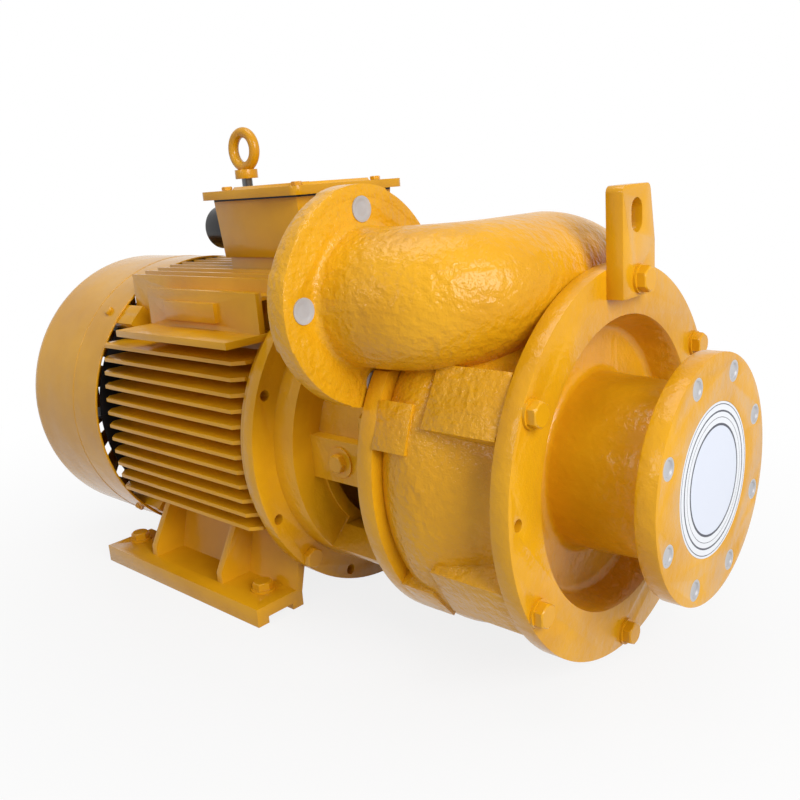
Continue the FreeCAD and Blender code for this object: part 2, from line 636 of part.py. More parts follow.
def make_motor_frame():
    length = size("frame_length")
    joint = size(MOTOR_JOINT)
    fin_start = size("frame_flange_thick") + 2
    core = size("core_dia / 2")
    thick = size("fin_thick")
    ledge = size("ledge_height")
    solids = [rod(size("frame_flange_dia"), size("frame_flange_thick"), Vector()), rod(2 * core, length, Vector())]
    for index in range(int(size("fin_count"))):
        solids.append(flat_fin(size("fin_pitch") * index - size("lowest_fin"), fin_start, length))
    count = int(size("top_fin_count"))
    for index in range(count):
        side = size("top_fin_pitch") * (index - (count - 1) / 2)
        top = size("top_fin_reach") - side * side / 1600
        foot = math.sqrt(core * core - side * side) - 3
        solids.append(box(length - fin_start, thick, top - foot,
                          Vector((length + fin_start) / 2, side, (top + foot) / 2)))
    for index in range(2, count - 2):
        side = size("top_fin_pitch") * (index - (count - 1) / 2)
        top = math.sqrt(core * core - side * side) - 3
        low = size("shaft_height") - 24
        solids.append(box(length - fin_start, thick, low - top,
                          Vector((length + fin_start) / 2, side, -(top + low) / 2)))
    shelf = size("ledge_length")
    panel = size("panel_length")
    panel_tall = size("panel_top") - ledge
    deep = size("panel_thick")
    solids.append(box(shelf, 2 * size("ledge_reach"), size("ledge_thick"),
                      Vector(5.5 + shelf / 2, 0, ledge + size("ledge_thick / 2"))))
    for side in (1, -1):
        place = side * (size("panel_side") - deep / 2)
        solids.append(box(panel, deep, panel_tall, Vector(8 + panel / 2, place, ledge + panel_tall / 2)))
        solids.append(box(89, size("pad_rise"), 20,
                          Vector(116, side * (size("panel_side") + size("pad_rise") / 2), 135)))
        solids.append(box(panel, 30, thick,
                          Vector(8 + panel / 2, side * (size("panel_side") - 15), size("panel_top") - 6)))
    solids += make_feet()
    pedestal_x = size("box_station") - joint
    solids.append(box(2 * size("pedestal_half"), 2 * size("pedestal_half"), size("box_bottom") - core + 15,
                      Vector(pedestal_x, 0, (size("box_bottom") + core - 15) / 2)))
    eye_x = size("eye_station") - joint
    pillar_low = core - 5
    solids.append(rod(size("pillar_dia"), size("pillar_top") - pillar_low, Vector(eye_x, 0, pillar_low), Z_AXIS))
    solids += [spun(cowl_lug(), 45 + 90 * index) for index in range(4)]
    frame = solids[0].fuse(solids[1:])
    lead_x = size(f"{CORE_START} - winding_length / 2") - joint
    shank = size("eye_shank_dia + 2 * thread_gap")
    cuts = [rod(size("stator_dia"), length + 2, Vector(-1, 0, 0)),
            rod(30, 100, Vector(lead_x, 0, 100), Z_AXIS),
            rod(shank, 40, Vector(eye_x, 0, size("pillar_top") - 38), Z_AXIS)]
    tapped = rod(size("motor_bolt_dia + 2 * thread_gap"), size("frame_flange_thick") + 14, Vector(-1, 0, 0))
    cuts += ring_of(tapped, size("motor_circle_dia"), size("motor_bolt_count"), 45, 0)
    screw = rod(size("cowl_screw_dia + 2 * thread_gap"), 14, Vector(0, size("cowl_dia / 2") - 12, 0), Y_AXIS)
    screw.translate(Vector(size("cowl_screw_station") - joint, 0, 0))
    cuts += [spun(screw, 45 + 90 * index) for index in range(4)]
    made("motor_frame", frame.cut(cuts), MOTOR_JOINT)


def cowl_lug():
    """Lug that reaches back under the cowl and takes its screw, drawn on the +Y side."""
    end = size("frame_length")
    outer = size("cowl_dia / 2 - cowl_sheet") - 0.2
    wide = 26
    root = size("core_dia / 2") - 6
    base = box(24, outer - root, wide, Vector(end - 12, (outer + root) / 2, 0))
    tongue_end = size(f"cowl_screw_station - ({MOTOR_JOINT})") + 9
    tongue = box(tongue_end - end + 24, 11, wide, Vector((tongue_end + end - 24) / 2, outer - 5.5, 0))
    return base.fuse(tongue).common(rod(2 * outer, tongue_end, Vector()))


def make_feet():
    """The two feet: base plate with the channel under it, wall leaning in to the core, and webs."""
    start = size("foot_setback")
    length = size("foot_length")
    base = -size("shaft_height")
    inner = size("foot_inner")
    outer = size("foot_outer")
    top = base + size("foot_thick")
    wall = size("foot_wall")
    leg = size("foot_leg")
    lean = size("foot_lean")
    end = size("frame_length")
    core = size("core_dia / 2")
    leaning_top = -math.sqrt(core * core - (inner - lean) ** 2) + 8
    web_top = -0.62 * core
    feet = []
    for side in (1, -1):
        plate = box(length, outer - inner, top - base,
                    Vector(start + length / 2, side * (inner + outer) / 2, (top + base) / 2))
        channel = box(length + 2, outer - inner - 2 * leg, size("foot_channel"),
                      Vector(start + length / 2, side * (inner + outer) / 2, base + size("foot_channel / 2")))
        holes = []
        for back in (0, 1):
            along = size("foot_hole_setback") + back * size("foot_hole_spacing")
            holes.append(rod(size("foot_hole_dia"), 30, Vector(along, side * size("foot_hole_side"), base - 1),
                             Z_AXIS))
        feet.append(plate.cut([channel] + holes))
        leaning = [(inner, top - 5), (inner + wall, top - 5), (inner + wall - lean, leaning_top),
                   (inner - lean, leaning_top)]
        feet.append(across_plate(leaning, side, start, end - start))
        for web in ("front_web_setback", "rear_web_setback"):
            reach = size("web_reach")
            corners = [(inner, top - 5), (reach, top - 5), (reach, top + 12), (inner + wall, web_top),
                       (inner - lean, web_top)]
            feet.append(across_plate(corners, side, size(web), wall))
    return feet


def across_plate(corners, side, start, thick):
    """Plate square to the shaft from (distance from the middle, height) corners."""
    wire = Part.makePolygon([Vector(start, side * across, up) for across, up in corners + corners[:1]])
    return Part.Face(wire).extrude(Vector(thick, 0, 0))


def make_shields():
    joint_face = [
        ("0", "shaft_wall_hole_dia / 2"), ("0", "stator_dia / 2 - fit_gap"),
        ("{s}shield_thick", "stator_dia / 2 - fit_gap"),
        ("{s}shield_thick", "bearing_dia / 2 + fit_gap + shield_hub_wall"),
        ("{s}shield_hub_length", "bearing_dia / 2 + fit_gap + shield_hub_wall"),
        ("{s}shield_hub_length", "bearing_dia / 2 + fit_gap"),
        ("{s}" + BEARING_INSET, "bearing_dia / 2 + fit_gap"), ("{s}" + BEARING_INSET, "shaft_wall_hole_dia / 2"),
    ]
    cap = [
        ("{s}(" + BEARING_INSET + " + bearing_width)", "bearing_dia / 2 - 17"),
        ("{s}(" + BEARING_INSET + " + bearing_width)", "bearing_dia / 2"),
        ("{s}(shield_hub_length - 1)", "bearing_dia / 2"),
        ("{s}(shield_hub_length - 1)", "bearing_dia / 2 - 17"),
    ]
    for end, station, sign in (("drive", MOTOR_JOINT, ""), ("fan", FRAME_END, "-")):
        for name, outline in (("shield", joint_face), ("bearing_cap", cap)):
            turned(f"{end}_{name}", station, [(along.replace("{s}", sign), up) for along, up in outline])


def make_stator():
    bore = "rotor_dia / 2 + air_gap"
    turned("stator_core", CORE_START, [
        ("0", bore), ("0", "stator_dia / 2 - fit_gap"), ("core_length", "stator_dia / 2 - fit_gap"),
        ("core_length", bore),
    ])
    windings = body_at("stator_windings", CORE_START)
    inner = f"{bore} + winding_inset"
    outer = "stator_dia / 2 - winding_clearance"
    for name, start in (("drive_end_turns", "-winding_length"), ("fan_end_turns", "core_length")):
        revolve(windings, name, [
            (start, inner), (start, outer),
            (f"{start} + winding_length", outer), (f"{start} + winding_length", inner),
        ])


# ---------------------------------------------------------------------------------------------
# Shaft line
# ---------------------------------------------------------------------------------------------
HUB_FRONT = f"{IMPELLER_FRONT} + 22"
SLEEVE_END = f"{MOTOR_JOINT} - 41.5"
FAN_HUB_END = "fan_station + fan_hub_length"
CLIP_THICK = "2.5"
CLIP_GROOVE = "fan_seat_dia / 2 - 1.6"


def make_shaft():
    steps = [
        (f"{HUB_FRONT} - 12", "nut_thread_dia / 2 - thread_gap"), (HUB_FRONT, "impeller_seat_dia / 2 - fit_gap"),
        (IMPELLER_REAR, "sleeve_seat_dia / 2"), (SLEEVE_END, "slinger_seat_dia / 2"),
        (DRIVE_BEARING, "bearing_bore / 2 - fit_gap"), (f"{DRIVE_BEARING} + bearing_width", "rotor_seat_dia / 2"),
        (FAN_BEARING, "bearing_bore / 2 - fit_gap"), (f"{FAN_BEARING} + bearing_width", "fan_seat_dia / 2"),
        (FAN_HUB_END, CLIP_GROOVE), (f"{FAN_HUB_END} + {CLIP_THICK}", "fan_seat_dia / 2"),
    ]
    shaft_end = f"{FAN_HUB_END} + 9"
    outline = [(steps[0][0], "0")]
    for index, (start, radius) in enumerate(steps):
        end = steps[index + 1][0] if index + 1 < len(steps) else shaft_end
        outline += [(start, radius), (end, radius)]
    outline.append((shaft_end, "0"))
    shaft = turned("pump_shaft", "0", outline)
    seat = blank_sketch(shaft, "keyway_outline", "XY_Plane", KEY_SEAT)
    polygon(seat, key_plan())
    keyway = cut(shaft, seat, "keyway", "key_height + 10")
    keyway.Reversed = True


KEY_SEAT = "impeller_seat_dia / 2 - 5"
KEY_START = f"{HUB_FRONT} + 9"
KEY_END = f"{HUB_FRONT} + 41"


def key_plan():
    return [(KEY_START, "-key_width / 2"), (KEY_END, "-key_width / 2"), (KEY_END, "key_width / 2"),
            (KEY_START, "key_width / 2")]


def make_shaft_fittings():
    key = body_at("impeller_key")
    pad(key, polygon(blank_sketch(key, "key_outline", "XY_Plane", KEY_SEAT), key_plan()), "key_block", "key_height")
    turned("shaft_sleeve", "0", [
        (IMPELLER_REAR, "sleeve_seat_dia / 2 + fit_gap"), (IMPELLER_REAR, "sleeve_dia / 2"),
        (SLEEVE_END, "sleeve_dia / 2"), (SLEEVE_END, "sleeve_seat_dia / 2 + fit_gap"),
    ])
    turned("shaft_slinger", f"{MOTOR_JOINT} - 18", [
        ("0", "slinger_seat_dia / 2 + fit_gap"), ("0", "slinger_dia / 2"), ("3", "slinger_dia / 2"),
        ("3", "slinger_seat_dia / 2 + 8"), ("12", "slinger_seat_dia / 2 + 8"),
        ("12", "slinger_seat_dia / 2 + fit_gap"),
    ])
    turned("rotor_core", CORE_START, [
        ("0", "rotor_seat_dia / 2 + fit_gap"), ("0", "rotor_dia / 2"), ("core_length", "rotor_dia / 2"),
        ("core_length", "rotor_seat_dia / 2 + fit_gap"),
    ])
    rings = body_at("rotor_end_rings", CORE_START)
    for name, start in (("drive_end_ring", "-end_ring_length"), ("fan_end_ring", "core_length")):
        revolve(rings, name, [
            (start, "end_ring_inner_dia / 2"), (start, "rotor_dia / 2 - end_ring_inset"),
            (f"{start} + end_ring_length", "rotor_dia / 2 - end_ring_inset"),
            (f"{start} + end_ring_length", "end_ring_inner_dia / 2"),
        ])
    turned("fan_circlip", FAN_HUB_END, [
        ("0", f"{CLIP_GROOVE} + fit_gap"), ("0", "fan_seat_dia / 2 + 3"), (CLIP_THICK, "fan_seat_dia / 2 + 3"),
        (CLIP_THICK, f"{CLIP_GROOVE} + fit_gap"),
    ])
    dome = turned("impeller_nut", f"{HUB_FRONT} - 24", [
        ("0", "0"), ("0", "8"), ("9", "19"), ("24", "24"), ("24", "nut_thread_dia / 2"),
        ("11", "nut_thread_dia / 2"), ("11", "0"),
    ])
    hole_ring(dome, "spanner_holes", "38", "5", "2", "0", "0", "14")


def make_impeller():
    """Closed impeller: two shrouds with backward-curved vanes between, bored and keyed for the shaft."""
    width = size(f"{IMPELLER_REAR} - ({IMPELLER_FRONT})")
    outer = size("impeller_dia / 2")
    eye = size("eye_dia / 2")
    bore = size("impeller_seat_dia / 2")
    shroud = 8
    hub_front = size(f"{HUB_FRONT} - ({IMPELLER_FRONT})")
    front = turned_shape([(0, eye - 6), (0, outer), (shroud, outer), (shroud + 8, eye - 6)])
    rear = turned_shape([(hub_front, bore), (hub_front, bore + 11), (width - shroud - 6, bore + 20),
                         (width - shroud, outer), (width, outer), (width, bore)])
    vanes = []
    for index in range(int(size("impeller_blades"))):
        vanes.append(spun(vane(eye - 8, outer, width), 360 / size("impeller_blades") * index))
    key_slot = box(size(f"{IMPELLER_REAR} - ({HUB_FRONT})") + 2, size("key_width"),
                   size(f"{KEY_SEAT} + key_height"),
                   Vector((hub_front + width) / 2, 0, size(f"{KEY_SEAT} + key_height") / 2))
    wheel = front.fuse([rear] + vanes).cut([key_slot, rod(2 * bore, width, Vector(hub_front - 1, 0, 0))])
    made("impeller", wheel, IMPELLER_FRONT)


def vane(inner, outer, width):
    """One vane: a band between two circular arcs, kept between the two radii."""
    thick = size("blade_thick")
    bend = 0.85 * outer
    centre = Vector(4, 0.62 * outer, 0.5 * outer)
    span = width - 10
    band = rod(2 * bend + thick, span, centre).cut(rod(2 * bend - thick, span, centre))
    half = box(span, 2 * outer, 2 * outer, Vector(4 + span / 2, 0, -outer))
    reach = rod(2 * outer, span, Vector(4, 0, 0)).cut(rod(2 * inner, span, Vector(4, 0, 0)))
    pieces = band.common(half).common(reach).Solids
    return max(pieces, key=lambda piece: piece.CenterOfMass.y * -1)


def make_bearing(end, station):
    inner = size("bearing_bore / 2")
    outer = size("bearing_dia / 2")
    wide = size("bearing_width")
    pitch = (inner + outer) / 2
    ball = size("ball_dia / 2")
    count = int(size("ball_count"))
    groove = Part.makeTorus(pitch, ball + size("fit_gap"), Vector(wide / 2, 0, 0), X_AXIS)
    land = 9
    inner_ring = turned_shape([(0, inner), (0, inner + land), (wide, inner + land), (wide, inner)])
    outer_ring = turned_shape([(0, outer - land), (0, outer), (wide, outer), (wide, outer - land)])
    made(f"{end}_inner_ring", inner_ring.cut(groove), station)
    made(f"{end}_outer_ring", outer_ring.cut(groove), station)
    half_width = 5
    cage = turned_shape([(wide / 2 - half_width, pitch - 2), (wide / 2 - half_width, pitch + 2),
                         (wide / 2 + half_width, pitch + 2), (wide / 2 + half_width, pitch - 2)])
    balls = [Part.makeSphere(ball, polar(pitch, 360 / count * index, wide / 2)) for index in range(count)]
    made(f"{end}_ball_cage", cage.fuse(balls), station)


def make_cooling_fan():
    hub = size("fan_hub_dia / 2")
    outer = size("fan_dia / 2")
    seat = size("fan_seat_dia / 2 + fit_gap")
    hub_length = size("fan_hub_length")
    disc = size("fan_sheet")
    wide = size("fan_width")
    wheel = turned_shape([(0, seat), (0, outer - 30), (disc, outer - 30), (disc, hub), (hub_length, hub),
                          (hub_length, seat)])
    blades = []
    count = int(size("fan_blade_count"))
    blade = box(wide, outer - hub + 2, disc, Vector(wide / 2, (outer + hub) / 2 - 1, 0))
    blade = blade.cut(box(wide, 40, 2 * disc, Vector(hub_length + wide / 2, hub + 2, 0)))
    for index in range(count):
        blades.append(spun(blade, 360 / count * index))
    made("cooling_fan", wheel.fuse(blades), "fan_station")


# ---------------------------------------------------------------------------------------------
# Fan cowl, terminal box and lifting eye
# ---------------------------------------------------------------------------------------------
def make_fan_cowl():
    length = size("cowl_length")
    sheet_thick = size("cowl_sheet")
    outer = size("cowl_dia / 2")
    bend = size("cowl_round")
    skin = rounded_drum(outer, length, bend)
    inside = rounded_drum(outer - sheet_thick, length - sheet_thick, bend - sheet_thick)
    inside = inside.fuse(rod(2 * (outer - sheet_thick), 1, Vector(-1, 0, 0)))
    cuts = [inside]
    wide = size("grille_slot_width")
    slots = int(size("grille_slots"))
    for count, low, high in ((slots, 92, 146), (slots // 2, 48, 82)):
        slot = box(12, high - low, wide, Vector(length, (high + low) / 2, 0))
        cuts += [spun(slot, 360 / count * index) for index in range(count)]
    screw = rod(size("cowl_screw_dia") + 1, 20, Vector(0, outer - 10, 0), Y_AXIS)
    screw.translate(Vector(size("cowl_screw_station - cowl_station"), 0, 0))
    cuts += [spun(screw, 45 + 90 * index) for index in range(4)]
    made("fan_cowl", skin.cut(cuts), "cowl_station")
    bolt = hex_bolt(size("cowl_screw_dia"), 11)
    bolt.rotate(Vector(), Z_AXIS, -90)
    bolt.translate(Vector(0, outer, 0))
    made("cowl_screws", Part.makeCompound([spun(bolt, 45 + 90 * index) for index in range(4)]),
         "cowl_screw_station")


def rounded_drum(radius, length, bend):
    """Drum along +X with its far edge rounded."""
    drum = rod(2 * radius, length, Vector())
    rim = [edge for edge in drum.Edges if isinstance(edge.Curve, Part.Circle) and edge.Curve.Center.x > 1]
    return drum.makeFillet(bend, rim)


def square_loft(low, low_half, high, high_half):
    wires = []
    for height, half in ((low, low_half), (high, high_half)):
        corners = [Vector(-half, -half, height), Vector(half, -half, height), Vector(half, half, height),
                   Vector(-half, half, height)]
        wires.append(Part.makePolygon(corners + corners[:1]))
    return Part.makeLoft(wires, True)


def make_terminal_box():
    low = size("box_bottom")
    high = size("box_top")
    wall = size("box_wall")
    low_half = size("box_bottom_half")
    high_half = size("box_top_half")
    shell = square_loft(low, low_half, high, high_half)
    plug_at = Vector(high_half - 16, size("plug_side"), size("plug_height"))
    shell = shell.fuse(rod(size("plug_dia"), 16, plug_at))
    hollow = square_loft(low + wall, low_half - wall, high + 1, high_half - wall)
    post_at = high_half - 11
    posts = []
    screws = []
    for across in (post_at, -post_at):
        for along in (post_at, -post_at):
            posts.append(rod(16, 30, Vector(across, along, high - 30), Z_AXIS))
            screws.append(rod(size("lid_screw_dia + 2 * thread_gap"), 26, Vector(across, along, high - 22), Z_AXIS))
    lead_x = size(f"{CORE_START} - winding_length / 2 - box_station")
    cuts = screws + [rod(30, 20, Vector(lead_x, 0, low - 5), Z_AXIS), rod(size("plug_dia") - 18, 60, plug_at)]
    shell = shell.cut(hollow).fuse([post.common(square_loft(low, low_half, high, high_half)) for post in posts])
    made("terminal_box", shell.cut(cuts), "box_station")
    gasket = size("box_gasket_thick")
    sheet_plate = box(2 * high_half, 2 * high_half, gasket, Vector(0, 0, high + gasket / 2))
    opening = box(2 * (high_half - 20), 2 * (high_half - 20), gasket, Vector(0, 0, high + gasket / 2))
    screw_holes = [rod(size("lid_screw_dia") + 1, 40, Vector(x, y, high - 5), Z_AXIS)
                   for x in (post_at, -post_at) for y in (post_at, -post_at)]
    made("box_gasket", sheet_plate.cut([opening] + screw_holes), "box_station")
    lid_low = high + gasket
    lid_high = lid_low + size("lid_thick")
    half = size("lid_half")
    rise = size("lid_panel_rise")
    lid = box(2 * half, 2 * half, lid_high - lid_low, Vector(0, 0, (lid_low + lid_high) / 2))
    corners = [edge for edge in lid.Edges if abs(edge.Vertexes[0].Point.z - edge.Vertexes[-1].Point.z) > 1]
    lid = lid.makeFillet(10, corners)
    screw_lands = [rod(18, rise, Vector(x, y, lid_high), Z_AXIS)
                   for x in (post_at, -post_at) for y in (post_at, -post_at)]
    lid = lid.fuse(square_loft(lid_high, half - 22, lid_high + rise, half - 25).cut(screw_lands))
    hollow = box(2 * (high_half - 20), 2 * (high_half - 20), 4, Vector(0, 0, lid_low + 2))
    made("box_lid", lid.cut([hollow] + screw_holes), "box_station")
    screws = []
    for across in (post_at, -post_at):
        for along in (post_at, -post_at):
            bolt = hex_bolt(size("lid_screw_dia"), size("lid_thick") + 20)
            bolt.rotate(Vector(), Y_AXIS, 90)
            bolt.translate(Vector(across, along, lid_high))
            screws.append(bolt)
    made("lid_screws", Part.makeCompound(screws), "box_station")
    board_mid = Vector(15, 0, low + wall + 6)
    board = box(52, 60, 12, board_mid)
    studs = [rod(5, 10, Vector(board_mid.x + x, y, low + wall + 12), Z_AXIS)
             for x in (-12, 12) for y in (-19, 0, 19)]
    made("terminal_board", board.fuse(studs), "box_station")
    plug_dia = size("plug_dia")
    plug = rod(plug_dia, size("plug_length"), Vector(high_half, plug_at.y, plug_at.z))
    stem = rod(plug_dia - 18.2, 14, Vector(high_half - 14, plug_at.y, plug_at.z))
    made("cable_plug", plug.makeFillet(4, [plug.Edges[0]]).fuse(stem), "box_station")


def make_eye_bolt():
    centre = Vector(0, 0, size("eye_centre"))
    wire = size("(eye_ring_dia - eye_hole_dia) / 4")
    middle = size("(eye_ring_dia + eye_hole_dia) / 4")
    ring = Part.makeTorus(middle, wire, centre, EYE_FACING)
    shank_low = size("pillar_top") - 32
    shank = rod(size("eye_shank_dia"), centre.z - middle - shank_low, Vector(0, 0, shank_low), Z_AXIS)
    collar = rod(26, 10, Vector(0, 0, centre.z - size("eye_ring_dia / 2") - 7), Z_AXIS)
    made("eye_bolt", ring.fuse([shank, collar]), "eye_station")


EYE_FACING = Y_AXIS

make_suction_cover()
make_cover_gasket()
make_volute_casing()
make_cover_bolts()
make_lifting_lug()
make_back_plate()
make_seal()
make_lantern()
make_motor_frame()
make_shields()
make_stator()
make_shaft()
make_shaft_fittings()
make_impeller()
make_bearing("drive", DRIVE_BEARING)
make_bearing("fan", FAN_BEARING)
make_cooling_fan()
make_fan_cowl()
make_terminal_box()
make_eye_bolt()
DOC.recompute()

# ---------------------------------------------------------------------------------------------
# Checks and export
# ---------------------------------------------------------------------------------------------
for item in DOC.Objects:
    if "Invalid" in item.State or "Error" in item.State:
        raise RuntimeError(f"{item.Label} did not build: {item.State}")
os.makedirs("parts", exist_ok=True)
for node in NODES:
    if node.Shape.isNull() or not node.Shape.isValid() or not node.Shape.Solids:
        raise RuntimeError(f"{node.Label} has no valid solid")
    node.Shape.exportStep(f"parts/{node.Label}.step")
    print(node.Label, len(node.Shape.Solids), "solid", round(node.Shape.Volume / 1000), "cm3")
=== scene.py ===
# %% [markdown]
# # A slurry pump on its motor
# The pump is a heap of castings under one coat of glossy amber enamel. The solids come from the CAD
# model as a fixed frame. This lesson dresses them: soft cast edges, lumpy skins, fasteners, plugs and
# paint. Everything is in metres, and each piece rides on the body that carries it in the model.

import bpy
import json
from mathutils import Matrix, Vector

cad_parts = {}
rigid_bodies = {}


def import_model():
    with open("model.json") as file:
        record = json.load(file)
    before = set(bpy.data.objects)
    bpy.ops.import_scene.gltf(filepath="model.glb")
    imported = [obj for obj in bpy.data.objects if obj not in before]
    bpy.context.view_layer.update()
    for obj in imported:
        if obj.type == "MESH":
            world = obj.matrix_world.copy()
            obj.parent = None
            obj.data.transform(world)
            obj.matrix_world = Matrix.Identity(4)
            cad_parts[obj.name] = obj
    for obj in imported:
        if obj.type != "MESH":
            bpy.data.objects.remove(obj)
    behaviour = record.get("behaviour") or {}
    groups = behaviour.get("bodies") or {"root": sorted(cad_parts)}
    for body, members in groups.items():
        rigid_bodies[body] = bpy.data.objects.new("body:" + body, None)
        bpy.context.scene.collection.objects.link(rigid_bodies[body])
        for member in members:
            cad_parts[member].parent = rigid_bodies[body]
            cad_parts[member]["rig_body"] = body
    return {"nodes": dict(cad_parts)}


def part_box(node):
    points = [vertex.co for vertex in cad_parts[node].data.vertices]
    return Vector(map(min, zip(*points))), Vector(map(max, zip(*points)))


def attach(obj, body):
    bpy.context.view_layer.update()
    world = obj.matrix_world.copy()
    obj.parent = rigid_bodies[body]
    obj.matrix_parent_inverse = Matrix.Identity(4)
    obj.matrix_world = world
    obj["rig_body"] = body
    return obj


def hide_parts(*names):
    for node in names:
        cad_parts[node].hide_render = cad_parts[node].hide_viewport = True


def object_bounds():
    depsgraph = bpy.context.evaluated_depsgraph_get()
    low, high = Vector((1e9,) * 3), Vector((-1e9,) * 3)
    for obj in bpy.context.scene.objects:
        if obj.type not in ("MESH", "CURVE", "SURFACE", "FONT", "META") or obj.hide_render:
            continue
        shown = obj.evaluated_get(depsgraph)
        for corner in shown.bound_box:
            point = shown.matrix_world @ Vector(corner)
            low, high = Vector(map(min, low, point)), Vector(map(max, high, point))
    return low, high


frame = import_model()
cad_low, cad_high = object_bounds()

# %% Tools from the library
import json
import math

import bmesh
import bpy
from mathutils import Matrix, Vector

MM = 0.001
scene = bpy.context.scene
X_AXIS = Vector((1, 0, 0))
print("one millimetre is", MM, "Blender units")

# %% [markdown]
# ## Where the viewer stands
# A camera is placed by a position and three directions. The pump is seen from its discharge side, a
# little above the shaft, with the suction flange on the right. The camera rolls a few degrees, so its
# turn is given as a matrix whose columns are its right, its up and its back.

# %% Camera
EYE = Vector((-0.2636, 0.6447, 0.2529))
RIGHT = Vector((-0.7406, -0.6682, -0.0719))
UP = Vector((0.1152, -0.2316, 0.9659))
lens_data = bpy.data.cameras.new("viewer")
lens_data.lens = 38.69
lens_data.sensor_width = 36
viewer = bpy.data.objects.new("viewer", lens_data)
back = RIGHT.cross(UP).normalized()
turn = Matrix((RIGHT.normalized(), UP.normalized(), back)).transposed()
viewer.matrix_world = Matrix.Translation(EYE) @ turn.to_4x4()
scene.collection.objects.link(viewer)
scene.camera = viewer
scene.view_settings.view_transform = "Standard"
print("camera at", tuple(round(part, 3) for part in EYE))

# %% [markdown]
# ## Floor, backdrop and lamps
# A white studio could be a white sheet with strong lamps, but then the paint would be overlit. The
# world and the floor are instead shown white only to rays from the camera, a mirror or a glass, while
# the object is lit by three soft lamps and a dimmer sky. Near the pump the floor shows less of its own
# white, so that it keeps the shadow.

# %% World
world = bpy.data.worlds.new("studio")
world.use_nodes = True
scene.world = world
sky = world.node_tree
backdrop = sky.nodes["Background"]
rays = sky.nodes.new("ShaderNodeLightPath")


def looking_rays(tree, rays):
    """One where a ray comes from the camera, a mirror or a glass, and nought for plain light."""
    seen = tree.nodes.new("ShaderNodeMath")
    seen.operation = "ADD"
    seen.use_clamp = True
    through = tree.nodes.new("ShaderNodeMath")
    through.operation = "ADD"
    tree.links.new(rays.outputs["Is Camera Ray"], seen.inputs[0])
    tree.links.new(rays.outputs["Is Glossy Ray"], through.inputs[0])
    tree.links.new(rays.outputs["Is Transmission Ray"], through.inputs[1])
    tree.links.new(through.outputs[0], seen.inputs[1])
    return seen.outputs[0]


SKY_LIGHT = 0.22
level = sky.nodes.new("ShaderNodeMapRange")
level.inputs["To Min"].default_value = SKY_LIGHT
level.inputs["To Max"].default_value = 1.0
sky.links.new(looking_rays(sky, rays), level.inputs["Value"])
sky.links.new(level.outputs[0], backdrop.inputs["Strength"])
backdrop.inputs["Color"].default_value = (1, 1, 1, 1)
print("world strength:", SKY_LIGHT, "for light, 1 for the camera")


# %% Floor
def node_material(name):
    """An empty node material, with its output and its tree."""
    material = bpy.data.materials.new(name)
    material.use_nodes = True
    material.node_tree.nodes.clear()
    output = material.node_tree.nodes.new("ShaderNodeOutputMaterial")
    return material, material.node_tree, output


SHADOW_CENTRE = (0.42, 0.05, 0)
SHADOW_SPREAD = (1.1, 0.9, 1)
WHITE_NEAR_PUMP = 0.84
FLOOR_GREY = (0.6, 0.6, 0.6, 1)
floor_paint, tree, output = node_material("floor_paint")
matt = tree.nodes.new("ShaderNodeBsdfDiffuse")
matt.inputs["Color"].default_value = FLOOR_GREY
glow = tree.nodes.new("ShaderNodeEmission")
rays = tree.nodes.new("ShaderNodeLightPath")
place = tree.nodes.new("ShaderNodeTexCoord")
centred = tree.nodes.new("ShaderNodeMapping")
centred.vector_type = "TEXTURE"
centred.inputs["Location"].default_value = SHADOW_CENTRE
centred.inputs["Scale"].default_value = SHADOW_SPREAD
near = tree.nodes.new("ShaderNodeTexGradient")
near.gradient_type = "QUADRATIC_SPHERE"
glow_share = tree.nodes.new("ShaderNodeMapRange")
glow_share.inputs["From Max"].default_value = 0.5
glow_share.inputs["To Min"].default_value = 1.0
glow_share.inputs["To Max"].default_value = WHITE_NEAR_PUMP
share = tree.nodes.new("ShaderNodeMath")
share.operation = "MULTIPLY"
tree.links.new(place.outputs["Object"], centred.inputs["Vector"])
tree.links.new(centred.outputs["Vector"], near.inputs["Vector"])
tree.links.new(near.outputs["Fac"], glow_share.inputs["Value"])
tree.links.new(glow_share.outputs[0], share.inputs[0])
tree.links.new(looking_rays(tree, rays), share.inputs[1])
blend = tree.nodes.new("ShaderNodeMixShader")
tree.links.new(share.outputs[0], blend.inputs[0])
tree.links.new(matt.outputs[0], blend.inputs[1])
tree.links.new(glow.outputs[0], blend.inputs[2])
tree.links.new(blend.outputs[0], output.inputs["Surface"])
floor_mesh = bpy.data.meshes.new("floor")
half = 12
UNDER_FEET = 0.4 * MM
floor_z = cad_low.z - UNDER_FEET
corners = [(-half, -half, floor_z), (half, -half, floor_z), (half, half, floor_z), (-half, half, floor_z)]
floor_mesh.from_pydata(corners, [], [(0, 1, 2, 3)])
floor = bpy.data.objects.new("floor", floor_mesh)
floor_mesh.materials.append(floor_paint)
scene.collection.objects.link(floor)
print("floor at", round(floor_z, 4))


# %% Lamps
def soft_lamp(name, place, aim, power, width):
    """A square area lamp that looks at a point."""
    data = bpy.data.lights.new(name, "AREA")
    data.energy = power
    data.size = width
    lamp = bpy.data.objects.new(name, data)
    lamp.location = place
    lamp.rotation_euler = (Vector(aim) - Vector(place)).to_track_quat("-Z", "Y").to_euler()
    scene.collection.objects.link(lamp)


PUMP_MIDDLE = (0.35, 0, 0)
soft_lamp("key", (-1.7, 0.6, 1.1), PUMP_MIDDLE, 48, 1.3)
soft_lamp("side", (0.5, 2.4, 1.2), PUMP_MIDDLE, 8, 0.7)
soft_lamp("top", (0.5, 0.2, 2.3), PUMP_MIDDLE, 20, 1.3)
print("three soft lamps")


